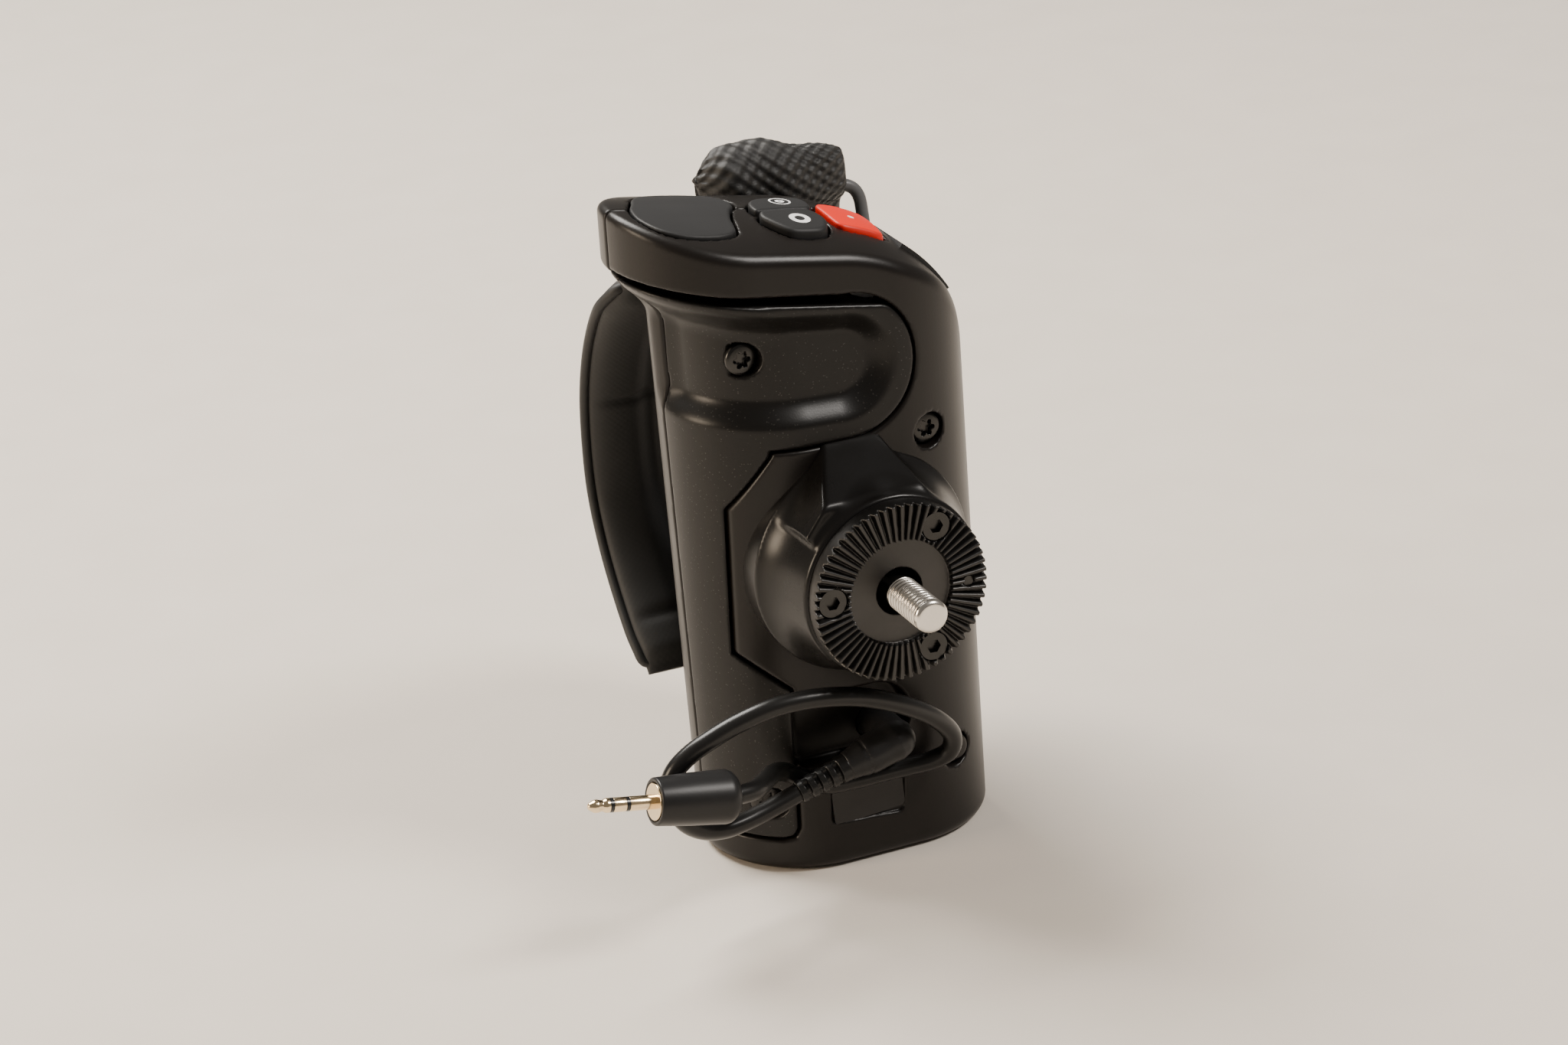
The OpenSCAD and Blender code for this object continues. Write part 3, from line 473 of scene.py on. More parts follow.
def metal(name, colour, shade, roughness, marks, relief, stretch=(1, 1, 1)):
    """Turned, plated or anodised metal: fine tool marks in relief, patchy tone and polish."""
    material, nodes, links, surface, place = start_material(name)
    surface.inputs["Metallic"].default_value = 1
    surface.inputs["IOR"].default_value = 1.6

    along = nodes.new("ShaderNodeMapping")
    along.label = "direction of the tool marks"
    along.inputs["Scale"].default_value = stretch
    links.new(place.outputs["Object"], along.inputs["Vector"])
    frame_nodes(nodes, "direction", (along,), -1000, -420)
    grained(nodes, links, surface, along.outputs["Vector"], "tool marks", (marks, 4, 0.5),
            (0.5, relief))
    shown = patchy(nodes, links, surface, place, "patches of tarnish", 160, 5, (colour, shade),
                   (roughness - 0.05, roughness + 0.1))
    links.new(shown, surface.inputs["Base Color"])
    return material


def cloth(name, colour, thread, pitch, relief, roughness, sheen):
    """Woven cloth on the piece's own flat map: two crossing rows of threads, pitch apart in
    metres, with fibre fuzz between them."""
    material, nodes, links, surface, place = start_material(name)
    surface.inputs["Sheen Weight"].default_value = sheen
    surface.inputs["Sheen Roughness"].default_value = 0.5
    surface.inputs["Roughness"].default_value = roughness

    flat = nodes.new("ShaderNodeMapping")
    flat.label = "threads to the metre"
    flat.inputs["Scale"].default_value = (math.pi / pitch, math.pi / pitch, 1)
    split = nodes.new("ShaderNodeSeparateXYZ")
    split.label = "warp and weft"
    over = nodes.new("ShaderNodeMath")
    over.label = "over and under"
    over.operation = "MULTIPLY"
    used = [flat, split]
    for k, (label, direction) in enumerate((("warp threads", "X"), ("weft threads", "Y"))):
        wave = nodes.new("ShaderNodeMath")
        wave.label = label
        wave.operation = "SINE"
        links.new(split.outputs[direction], wave.inputs[0])
        links.new(wave.outputs["Value"], over.inputs[k])
        used.append(wave)
    lifted = nodes.new("ShaderNodeMapRange")
    lifted.label = "height of the threads"
    lifted.inputs["From Min"].default_value = -1
    links.new(place.outputs["UV"], flat.inputs["Vector"])
    links.new(flat.outputs["Vector"], split.inputs["Vector"])
    links.new(over.outputs["Value"], lifted.inputs["Value"])
    frame_nodes(nodes, "weave", used + [over, lifted], -900, 200)

    fuzz = nodes.new("ShaderNodeTexNoise")
    fuzz.label = "fibres"
    fuzz.inputs["Scale"].default_value = 5200
    fuzz.inputs["Detail"].default_value = 4
    added = nodes.new("ShaderNodeMath")
    added.label = "fibres on the threads"
    added.operation = "MULTIPLY_ADD"
    added.inputs[1].default_value = 0.35
    lift = nodes.new("ShaderNodeBump")
    lift.label = "cloth in relief"
    lift.inputs["Strength"].default_value = 0.9
    lift.inputs["Distance"].default_value = relief
    links.new(place.outputs["Object"], fuzz.inputs["Vector"])
    links.new(fuzz.outputs["Fac"], added.inputs[0])
    links.new(lifted.outputs["Result"], added.inputs[2])
    links.new(added.outputs["Value"], lift.inputs["Height"])
    links.new(lift.outputs["Normal"], surface.inputs["Normal"])
    frame_nodes(nodes, "fibres", (fuzz, added, lift), -800, -300)

    # painted shade: the colour goes darker where the threads dip, as shade between them
    tone = nodes.new("ShaderNodeMix")
    tone.label = "shadow between threads"
    tone.data_type = "RGBA"
    tone.inputs["A"].default_value = (*colour, 1)
    tone.inputs["B"].default_value = (*thread, 1)
    links.new(lifted.outputs["Result"], tone.inputs["Factor"])
    links.new(tone.outputs["Result"], surface.inputs["Base Color"])
    frame_nodes(nodes, "painted shade of the weave", (tone,), 300, 500)
    return material


GREY_INK = (0.75, 0.75, 0.74)
KEY_TONES = (0.012, 0.012, 0.0125), (0.018, 0.018, 0.0185)
# name: tone, worn tone, roughness, grains in a metre, depth of the grain, what else it has
MOULDED = {
    "shell_plastic": ((0.0062, 0.0050, 0.0044), (0.0095, 0.0078, 0.0066), 0.33, 3600, 2e-5, {}),
    "panel_soft": ((0.0045, 0.0041, 0.0038), (0.0068, 0.0062, 0.0056), 0.34, 3000, 2e-5,
                   {"sparkle": 0.05}),
    "boss_plastic": ((0.0040, 0.0037, 0.0035), (0.0062, 0.0056, 0.0052), 0.28, 2600, 1.2e-5, {}),
    "key_rubber": (*KEY_TONES, 0.5, 3400, 2e-5, {}),
    "focus_rubber": (*KEY_TONES, 0.5, 3400, 2e-5,
                     {"mark": ((-5.0, 0.6), ((1.75, 0.32), (0.55, 0.5)), GREY_INK)}),
    "iris_rubber": (*KEY_TONES, 0.5, 3400, 2e-5,
                    {"mark": ((-5.4, -8.6), ((1.35, 0.95),), GREY_INK)}),
    "record_red": ((0.66, 0.012, 0.004), (0.72, 0.020, 0.007), 0.4, 2400, 1e-5,
                   {"mark": ((5.6, -4.9), ((0.0, 1.1),), (0.9, 0.8, 0.76))}),
    "plug_grey": ((0.010, 0.010, 0.0105), (0.016, 0.0155, 0.0155), 0.36, 3000, 1.5e-5, {}),
    "lead_black": ((0.006, 0.006, 0.006), (0.011, 0.0105, 0.010), 0.3, 1900, 1e-5,
                   {"coat": 0.1}),
    "label_film": ((0.014, 0.013, 0.013), (0.022, 0.021, 0.021), 0.3, 1500, 8e-6,
                   {"coat": 0.2}),
    "ring_grey": ((0.085, 0.085, 0.088), (0.12, 0.12, 0.12), 0.36, 2500, 1e-5, {}),
    "insulator_black": ((0.008, 0.008, 0.008), (0.014, 0.014, 0.014), 0.25, 1800, 4e-6,
                        {"coat": 0.4}),
    "switch_grey": ((0.2, 0.2, 0.21), (0.28, 0.28, 0.28), 0.45, 2500, 1e-5, {}),
    "board_green": ((0.01, 0.09, 0.03), (0.015, 0.12, 0.045), 0.3, 1400, 1e-5, {"coat": 0.4}),
    "flex_amber": ((0.35, 0.14, 0.02), (0.42, 0.18, 0.03), 0.22, 1200, 4e-6, {"coat": 0.5}),
}
# name: tone, dull tone, roughness, tool marks in a metre, their depth, their stretch
METALS = {
    "black_anodised": ((0.045, 0.044, 0.043), (0.075, 0.073, 0.071), 0.38, 1800, 2e-6),
    "black_screw": ((0.03, 0.03, 0.03), (0.07, 0.068, 0.065), 0.26, 1400, 2e-6),
    "nickel": ((0.80, 0.76, 0.70), (0.66, 0.62, 0.57), 0.2, 1500, 1.5e-6),
    "steel": ((0.62, 0.62, 0.63), (0.5, 0.5, 0.5), 0.32, 1500, 1e-5),
    "plate_alu": ((0.75, 0.76, 0.78), (0.62, 0.63, 0.65), 0.35, 900, 1e-5, (1, 1, 14)),
    "gold": ((0.95, 0.76, 0.50), (0.88, 0.68, 0.42), 0.16, 1500, 1e-6),
}
# name: painted shade between the threads, tone of the threads, pitch, relief, roughness, sheen
CLOTHS = {
    "webbing_black": ((0.0015, 0.0015, 0.0015), (0.016, 0.0155, 0.0145), 0.0013, 0.00035, 0.5,
                      0.03),
    "pad_black": ((0.0042, 0.0041, 0.0040), (0.0052, 0.0051, 0.0050), 0.0006, 1.2e-5, 0.6, 0.08),
    "binding_black": ((0.004, 0.004, 0.004), (0.008, 0.008, 0.008), 0.0009, 4e-5, 0.6, 0.06),
}
FINISHES = {name: moulding(name, *how, **more) for name, (*how, more) in MOULDED.items()}
FINISHES.update((name, metal(name, *how)) for name, how in METALS.items())
FINISHES.update((name, cloth(name, *how)) for name, how in CLOTHS.items())
for part in frame["record"]["subparts"]:
    mesh = frame["nodes"][part["node"]].data
    mesh.materials.clear()
    mesh.materials.append(FINISHES[part["material_slot"]])
frame["nodes"]["locating_pin"].data.materials[0] = FINISHES["black_screw"]

# ---- lead, plug and jack
LEAD_ROUTE = [
    (-18.6, -24, 19.5), (-22, -24.2, 18.6), (-26, -24.6, 17.7), (-30, -25.2, 17.2),
    (-34, -26, 17.3), (-38, -26.8, 18.6), (-41.3, -27.3, 21.2), (-43.3, -27.5, 25),
    (-43.8, -27.6, 28.5), (-42.6, -27.7, 31.4), (-39.8, -28, 33.9), (-36.4, -28.5, 35.8),
    (-31.3, -29, 37.9), (-24.6, -30, 39.8), (-17.7, -30.5, 39.9), (-10.8, -30.5, 38.6),
    (-5.1, -30, 36.4), (0.7, -29, 33.2), (6.5, -27.2, 28.8), (10.4, -25.2, 24),
    (10.8, -23.2, 19.8), (8, -21.6, 17.9), (3.6, -20.9, 17.5), (-0.8, -20.8, 17.5),
    (-7, -20.8, 17.5), (-12, -20.8, 18), (-16.4, -20.2, 20.2), (-20, -21, 22.6),
    (-23.6, -24.6, 24.6), (-27, -29, 25.8), (-30.4, -32.6, 26.7), (-34.4, -34, 27.4)]
lead_line = through(LEAD_ROUTE, 6)
lead = make("remote_cable", *capped(tube_rings(lead_line, LEAD_D / 2, 20)), "grip",
            "lead_black", ("remote_lead",))

jack_rise = math.radians(10.3)
jack_axis = np.array([-math.cos(jack_rise), 0, math.sin(jack_rise)])
housing_profile = rolled([(0, 0.05), (0, 3.4), (1.5, 4.7), (HOUSING_L - 6, 4.45),
                          (HOUSING_L, 4.1), (HOUSING_L, 3.3), (HOUSING_L - 0.9, 3.25),
                          (HOUSING_L - 0.9, 0.05)], 0.9, 7)
housing = make("jack_grip", *turned(housing_profile, HOUSING, jack_axis, 72), "grip",
               "plug_grey", ("jack_housing",))
collar_profile = rolled([(HOUSING_L - 0.95, 0.05), (HOUSING_L - 0.95, 3.2),
                         (HOUSING_L + 0.1, 3.2), (HOUSING_L + 0.1, 1.2), (HOUSING_L, 0.05)], 0.2)
washer = make("jack_collar", *turned(collar_profile, HOUSING, jack_axis, 64), "grip", "gold",
              ("jack_washer",))
band = 1.2
contact_profile = rolled([(-0.5, 0.05), (-0.5, 1.25), (4.6, 1.25), (4.6, band), (5.3, band),
                          (5.3, 1.25), (7.5, 1.25), (7.5, band), (8.2, band), (8.2, 1.25),
                          (8.8, 1.25), (9.4, 0.92), (10.3, 1.15), (10.9, 1.1), (11.9, 0.5),
                          (JACK_L, 0.05)], 0.16, 4)
contact = make("jack_contact", *turned(contact_profile + (HOUSING_L, 0), HOUSING, jack_axis, 48),
               "grip", "gold", ("jack_sleeve", "jack_ring", "jack_tip"))

relief_axis = unit(RELIEF_TIP - SOCKET)


def elbow_field(x, y, z):
    """Two round arms from the socket's middle, one to the grip and one to the lead, filleted."""
    px, py, pz = x - SOCKET[0], y - SOCKET[1], z - SOCKET[2]
    stub = meet(np.hypot(px, pz) - 3.4, np.maximum(py - 9.0, -py), 0.3)
    s = px * relief_axis[0] + py * relief_axis[1] + pz * relief_axis[2]
    off = np.sqrt(np.maximum((px - s * relief_axis[0]) ** 2 + (py - s * relief_axis[1]) ** 2
                             + (pz - s * relief_axis[2]) ** 2, 1e-9))
    arm = meet(off - (3.5 - 0.9 * smooth((s - 5) / 5)), np.maximum(s - ELBOW_L, -s), 0.4)
    ball = np.sqrt(px ** 2 + py ** 2 + pz ** 2) - 3.5
    rib = np.abs(s - 6.4) - 0.25
    arm = np.maximum(arm, -np.maximum(rib, 3.2 - off))
    return join(join(stub, arm, 0.8), ball, 0.6)


def relief_shape(d, r, angle):
    """Ribs of the strain relief: slots cut in from two sides, with a spine left between."""
    slot_depth = 1.05 * smooth((0.5 - np.abs((d - ELBOW_L - 1.6) % 2.0 - 0.45)) / 0.12)
    inside = (d > ELBOW_L + 1.5) & (d < ELBOW_L + RELIEF_L - 1.1) & (r > 1)
    around = smooth((np.abs(np.sin(angle)) - 0.18) / 0.15)
    return d, r - slot_depth * inside * around


make("remote_plug", *skin(elbow_field, SOCKET - (12, 4.5, 7.5), SOCKET + (5, 10, 5), 0.28),
     "grip", "plug_grey", ("elbow_plug",))
relief_d = np.linspace(ELBOW_L, ELBOW_L + RELIEF_L, 96)
relief_profile = np.vstack([[(ELBOW_L - 0.4, 0.05), (ELBOW_L - 0.4, 2.4)],
                            np.stack([relief_d, 2.5 - 0.5 * (relief_d - ELBOW_L) / RELIEF_L], 1),
                            [(ELBOW_L + RELIEF_L + 0.05, 1.75), (ELBOW_L + RELIEF_L, 0.05)]])
make("cable_relief", *turned(relief_profile, SOCKET, relief_axis, 48, relief_shape),
     "grip", "lead_black", ("strain_relief",))

# ---- moulded body
def round_ended(x, y, left, right):
    """Bar with round ends between two X values, as thick as the grip."""
    along = np.maximum(np.maximum(left + HALF - x, x - (right - HALF)), 0)
    return np.hypot(along, y) - HALF


def roof(x, y, z):
    """Height above the crowned top: a plane that falls to the right, then a round shoulder."""
    sag = CROWN_R - np.sqrt(np.maximum(CROWN_R ** 2 - y ** 2, 1))
    slope = (z + sag + math.tan(TILT) * (x - TOP_X) - TOP_Z) * math.cos(TILT)
    dx, dz = x - SHOULDER_X, z + sag - SHOULDER_Z
    bend = np.where(dz > 0, np.hypot(dx, dz), dx) - SHOULDER_R
    return np.where(dx * math.cos(TILT) - dz * math.sin(TILT) > 0, bend, slope)


def finger_recess(x, y, z):
    """Depth of the finger recess: a long round-ended hollow with soft banks, fading round the
    left side to the back."""
    to_left = np.maximum(-3.5 - x, 0)
    middle = 93.5 + 0.10 * to_left
    away = np.hypot(np.maximum(x + 3.5, 0), z - middle) - (10.2 + 0.05 * to_left)
    return 2.6 * smooth(-away / 5.0) * (1 - smooth((y + 4) / 8))


def body(x, y, z):
    """Grip, flared lip, dark groove and overhanging head under the roof, all edges rolled."""
    q = z + math.tan(TILT) * (x - TOP_X)
    left = BASE_LEFT - LEAN_LEFT * z
    right = BASE_RIGHT - LEAN_RIGHT * z
    hollow = finger_recess(x, y, z)
    grip = round_ended(x, y, left, right) + hollow
    flare = (-LIP_LEFT + left) * smooth((q - 98.0) / 9.5) ** 1.3
    lip = meet(round_ended(x, y, left - flare, right) + hollow, q - LIP_TOP, 0.9)
    core = np.maximum(round_ended(x, y, GROOVE_LEFT, right), LIP_TOP - 0.7 - q)
    head = meet(round_ended(x, y, HEAD_LEFT, right), HEAD_UNDER + 0.35 - q, 0.7)
    whole = np.minimum(np.minimum(np.minimum(grip, lip), core), head)
    return meet(meet(whole, roof(x, y, z), 1.7), -z, 2.4)


def lobe_zone(x, z):
    """Distance to the soft panel's outline: round lobe, wide top band, octagon side, foot."""
    lobe = np.hypot(x + 3, z - 93) - 13
    band_top = outline_distance(x, z, [(-60, 81), (-3, 80), (-3, 106), (-24, 109.3), (-60, 116)])
    foot = outline_distance(x, z, [(-60, 6.5), (-18.2, 6.5), (-16.5, 7.1), (-15.8, 8.8),
                                   (-15.8, 35.7), (-23.7, 42.3), (-23.7, 69.5), (-17, 79.6),
                                   (-17, 82), (-60, 82)])
    return np.minimum(np.minimum(lobe, band_top), foot)


def cuts(x, y, z):
    """Everything cut out of the body: plug pocket, counterbores, label, key openings, slot."""
    end = np.hypot(np.maximum(x + 1.2, 0), z - 27.25) - 6.75
    pocket = meet(meet(end, -15.5 - x, 1.5), y + 15, 0.8)
    cut = pocket
    for spots, radius, deep in ((SHELL_SCREWS, 3.2, 4.2), (PANEL_SCREWS, 3.1, 7.2)):
        for sx, sz in spots:
            hole = np.maximum(np.hypot(x - sx, z - sz) - radius, y + HALF - deep)
            cut = np.minimum(cut, hole)
    u = (x + 3.3) * math.cos(ROSETTE_TURN) - (z - 12.3) * math.sin(ROSETTE_TURN)
    v = (x + 3.3) * math.sin(ROSETTE_TURN) + (z - 12.3) * math.cos(ROSETTE_TURN)
    label = meet(meet(np.abs(u) - 7.05, np.abs(v) - 3.75, 1), y + HALF - 0.6, 0.1)
    seam = np.maximum(np.maximum(np.abs(x - 3.5) - 0.22, np.abs(z - 38) - 4.5), y + HALF - 0.7)
    off = np.hypot(x - ROSETTE_X, z - ROSETTE_Z)
    bore, back_bore = np.maximum(off - 12.1, y), np.maximum(off - 7.2, -1 - y)
    for other in (label, seam, bore, back_bore):
        cut = np.minimum(cut, other)
    top = roof(x, y, z)
    for outline in (FOCUS, IRIS, RECORD, ROCKER):
        hole = outline_distance(x, y, outline) - OPENING_GAP
        cut = np.minimum(cut, np.maximum(hole, -OPENING_DEEP - top))
    dx, dz = x - SHOULDER_X, z - SHOULDER_Z
    angle = np.degrees(np.arctan2(dz, dx))
    strip = np.maximum(np.maximum(np.abs(angle - 41) - 11, 0) * 0.6 - 0.001,
                       np.abs(y + 3.75) - 5.75)
    strip = np.maximum(strip, SHOULDER_R - 0.9 - np.hypot(dx, dz))
    return np.minimum(cut, strip)


FOCUS = through([
    (-11.6, -2.9), (-11.3, -0.6), (-10.2, 1.4), (-8.0, 2.9), (-4.6, 3.5), (-1.4, 3.2),
    (-0.2, 1.6), (-0.2, -0.8), (-1.0, -2.9), (-3.2, -3.3), (-6.2, -3.4), (-9.6, -3.9),
    (-11.2, -4.0)], 4, True)
IRIS = through([
    (-11.9, -7.2), (-11.2, -9.2), (-9.7, -11.6), (-8.3, -12.7), (-6, -12.9), (-3.2, -12.6),
    (-1.7, -11.4), (-0.7, -8.9), (-0.9, -6.9), (-2.0, -4.6), (-3.6, -4.1), (-6.4, -4.2),
    (-9.4, -4.7), (-11.2, -5.3)], 4, True)
RECORD = through([
    (0.9, -1.0), (0.85, -3.6), (1.0, -7.6), (1.6, -9.4), (3.2, -9.9), (6.2, -9.9), (8.6, -9.8),
    (9.6, -8.9), (10.0, -6.2), (10.1, -2.4), (9.5, 0.1), (7.4, 0.8), (4.2, 0.8),
    (1.9, 0.4)], 4, True)
ROCKER = through([
    (-30.9, 3.4), (-32.6, -0.4), (-33.1, -5), (-31.7, -9.5), (-28.8, -12), (-25.2, -12.8),
    (-21.2, -12.6), (-18.4, -11.3), (-17.5, -9.2), (-16.6, -5.4), (-14.9, -1.2), (-13.4, 1.2),
    (-12.9, 4.2), (-14.0, 7.6), (-17.2, 9.8), (-22, 10.6), (-26.6, 9.6), (-29.4, 6.8)], 4, True)


def half_body(x, y, z, far_side):
    """The body with its openings, up to the joint between its halves."""
    return meet(np.maximum(body(x, y, z), -cuts(x, y, z)), far_side + HALVES_GAP, 0.3)


def front_field(x, y, z):
    """Front half of the body, outside the soft panel."""
    solid = half_body(x, y, z, y)
    return meet(solid, PANEL_GAP / 2 - lobe_zone(x, z), 0.45)


def panel_field(x, y, z):
    """Soft panel, as deep as the front half."""
    solid = half_body(x, y, z, y)
    solid = meet(solid, z + math.tan(TILT) * (x - TOP_X) - LIP_TOP, 0.5)
    return meet(solid, lobe_zone(x, z) + PANEL_GAP / 2, 0.55)


def rear_field(x, y, z):
    """Rear half of the body with the lugs of the strap rings."""
    solid = half_body(x, y, z, -y)
    from_middle = np.abs(x - (RING_LEFT + RING_RIGHT) / 2)
    for lug_z in RING_Z.values():
        eye = np.hypot(y - RING_Y, z - lug_z) - 2.7
        neck = meet(np.abs(z - lug_z) - 2.7, np.maximum(y - RING_Y, 15 - y), 0.1)
        lug = meet(np.minimum(eye, neck), from_middle - 10.9, 0.6)
        pin = np.maximum(np.hypot(y - RING_Y, z - lug_z) - RING_R - 0.1, 6.5 - from_middle)
        solid = np.maximum(join(solid, lug, 0.8), -pin)
    return solid


coarse = 1.0
make("front_moulding", *skin(front_field, (-38, -19.6, -0.6), (27.5, 0.5, 123.5), 0.45 * coarse),
     "grip", "shell_plastic", ("front_shell",))
make("rear_moulding", *skin(rear_field, (-38, -0.5, -0.6), (27.5, 25.2, 123.5), 0.5 * coarse),
     "grip", "shell_plastic", ("rear_shell",))
make("finger_panel", *skin(panel_field, (-37, -19.6, 5.5), (11, 0.5, 112), 0.42 * coarse),
     "grip", "panel_soft", ("grip_panel",))


def key_field(outline, height, edge):
    """Field of a key that follows the crowned top: its outline, a rolled top edge, a foot."""
    def field(x, y, z):
        top = roof(x, y, z)
        return meet(meet(outline_distance(x, y, outline), top - height, edge), -KEY_FOOT - top,
                    0.2)
    return field


def rocker_field(x, y, z):
    """Zoom rocker: flush with the top at its middle and rising a little towards both ends."""
    top = roof(x, y, z)
    height = 0.15 + 0.3 * smooth((np.abs(y + 1) - 3) / 9)
    return meet(meet(outline_distance(x, y, ROCKER), top - height, 0.45), -ROCKER_FOOT - top,
                0.2)


KEYS = (("focus_key_cap", FOCUS, 1.0, 0.6, "focus_key", "key_rubber", "focus_rubber",
         "focus_button"),
        ("iris_key_cap", IRIS, 1.35, 0.7, "iris_key", "key_rubber", "iris_rubber",
         "iris_button"),
        ("record_key_cap", RECORD, 0.75, 0.6, "record_key", "record_red", "record_red",
         "record_button"))
for name, outline, height, edge, rides, slot, finish, node in KEYS:
    (x0, y0), (x1, y1) = outline.min(0) - 0.6, outline.max(0) + 0.6
    make(name, *skin(key_field(outline, height, edge), (x0, y0, 104), (x1, y1, 119),
                     0.2 * coarse), rides, slot, (node,), finish=finish)
make("zoom_rocker_cap", *skin(rocker_field, (-34, -13.5, 109), (-12, 11.5, 123), 0.26 * coarse),
     "rocker", "key_rubber", ("zoom_rocker",))

# ---- boss, bolt and screws
def boss_field(x, y, z):
    """Round drum that flares at its foot, a hooded ridge above it, and the bolt's bore."""
    u, w = x - ROSETTE_X, z - ROSETTE_Z
    r = np.hypot(u, w)
    down = np.clip((y + 31.5) / 12.5, 0, 1)
    flare = 16.4 + 2.0 * down + 1.7 * down ** 5
    drum = meet(r - flare, -31.5 - y, 0.6)
    hood = meet(-0.516 * (y + 19.2) + 0.857 * (z - 80.0), -29.9 - y, 0.8)
    hood = meet(hood, -0.797 * (x + 9.8) + 0.602 * (z - 78.2), 0.5)
    hood = meet(hood, 0.901 * (x - 3.3) + 0.434 * (z - 78.1), 0.5)
    hood = meet(hood, -(0.602 * u + 0.797 * w), 0.3)
    hood = meet(hood, 0.434 * u - 0.901 * w, 0.3)
    whole = join(drum, hood, 1.4)
    whole = np.maximum(whole, y + 12)
    whole = np.minimum(whole, np.maximum(r - 12.0, np.maximum(y - 3.9, -31 - y)))
    bore = np.where(y < -8, r - BORE_R, r - 6.5)
    return np.maximum(whole, -bore)


make("rosette_boss", *skin(boss_field, (-22.5, -32.2, 36.5), (19.5, 4.6, 81.5), 0.4 * coarse),
     "grip", "boss_plastic", ("boss_block",))


def rosette_field(x, y, z):
    """Toothed ring: 60 flat-topped ridges that deepen outwards, a sunk middle, bore, three
    counterbores and a pin hole."""
    u, w = x - ROSETTE_X, z - ROSETTE_Z
    r = np.hypot(u, w)
    turn = np.arctan2(w, u) * TEETH / (2 * np.pi)
    wave = np.abs((turn - np.floor(turn)) - 0.5) * 2
    depth = 0.075 * r * smooth((wave - 0.22) / 0.74)
    face = np.where(r > SUNK_R, depth, 1.25) + ROSETTE_FACE
    ring = meet(meet(r - TOOTHED_R, (face - y) * 0.75, 0.12), y - ROSETTE_FACE - 3.5, 0.1)
    ring = np.maximum(ring, BORE_R - r)
    for turned_by in (0, 60, 180, 300):
        a = math.radians(turned_by) - ROSETTE_TURN
        off = np.hypot(u - SCREW_CIRCLE * math.cos(a), w - SCREW_CIRCLE * math.sin(a))
        hole = np.maximum(off - 2.7, y - ROSETTE_FACE - 2) if turned_by else off - 0.95
        ring = np.maximum(ring, -hole)
    return ring


make("toothed_ring", *skin(rosette_field, (-18.4, -35.3, 41.1), (14.4, -31.2, 73.9),
                           0.2 * coarse), "grip", "black_anodised", ("rosette_ring",))


def thread(d, r, angle):
    """Screw thread of 1 mm pitch: the radius dips once for each turn."""
    in_thread = smooth((d - 0.2) / 0.1) * smooth((10.9 - d) / 0.5) * (r > 2.6)
    wave = np.abs(((d + angle / (2 * np.pi)) % 1.0) - 0.5) * 2
    return d, r - 0.58 * smooth((wave - 0.15) / 0.75) * in_thread


def knob(d, r, angle):
    """Coin slot across the end of the bolt's head, and fine ribs round its rim."""
    slot = smooth((1.0 - np.abs(r * np.cos(angle))) / 0.25) * (d < -46.9) * (r < 6.4)
    ribs = 0.18 * np.abs(np.sin(angle * 20)) * ((d < -43) & (d > -46.8) & (r > 6))
    return d + 2.0 * slot, r - ribs


def bolt_shape(d, r, angle):
    """Thread at one end and knob at the other."""
    return knob(*thread(d, r, angle), angle)


tip = 11.5
bolt_steps = np.arange(tip - 0.55, 0, -0.07)
bolt_profile = np.vstack([
    np.stack([np.full(8, tip), np.linspace(0.05, 2.35, 8)], 1), [(tip - 0.12, 2.6)],
    np.stack([bolt_steps, np.full(len(bolt_steps), 3.0)], 1),
    rolled([(0, 2.5), (-31, 2.5), (-31, 3.0), (-34, 3.0), (-34, 2.5), (-34.9, 2.5), (-34.9, 3.0),
            (-43, 3.0), (-43, 6.3)], 0.15, 4),
    np.stack([np.linspace(-43.3, -46.7, 10), np.full(10, 6.4)], 1), [(-46.95, 6.2)],
    np.stack([np.full(30, -47.0), np.linspace(6.0, 0.05, 30)], 1)])
make("captive_bolt", *turned(bolt_profile[::-1], (ROSETTE_X, ROSETTE_FACE, ROSETTE_Z),
                             (0, -1, 0), 96, bolt_shape), "bolt", "nickel", ("fixing_screw",))


def screw_shape(d, r, angle):
    """Six-lobed driver recess in a domed head."""
    lobe = 1.35 + 0.28 * np.cos(6 * angle)
    recess = smooth((lobe - r) / 0.18) * (d > -0.6) * (r < 2.4)
    return d - 1.1 * recess - 0.35 * (r / 2.8) ** 2 * (d > -0.4), r


def star_screws(name, spots, head_y, node):
    """Screws with a six-lobed recess, heads facing out of the rosette side."""
    profile = np.vstack([[(-10, 0.05), (-10, 1.1), (-1.9, 1.2), (-1.9, SCREW_R)],
                         [(-0.5, SCREW_R), (-0.15, SCREW_R - 0.1), (0, SCREW_R - 0.35)],
                         np.stack([np.zeros(26), np.linspace(SCREW_R - 0.5, 0.05, 26)], 1)])
    points, faces = [], []
    for spot in spots:
        p, f = turned(profile, (spot[0], head_y, spot[1]), (0, -1, 0), 72, screw_shape)
        faces += [[i + sum(len(q) for q in points) for i in face] for face in f]
        points.append(p)
    make(name, np.vstack(points), faces, "grip", "black_screw", (node,))


star_screws("body_screw_heads", SHELL_SCREWS, -HALF + 2.2, "shell_screws")
star_screws("panel_screw_heads", PANEL_SCREWS, -HALF + 5.3, "panel_screws")

# ---- strap rings and webbing
def ring_point(which, x, height):
    """A point of a leaning strap ring, at a height up its legs."""
    return (x, RING_Y + height * math.sin(RING_LEAN), RING_Z[which] + height * math.cos(RING_LEAN))


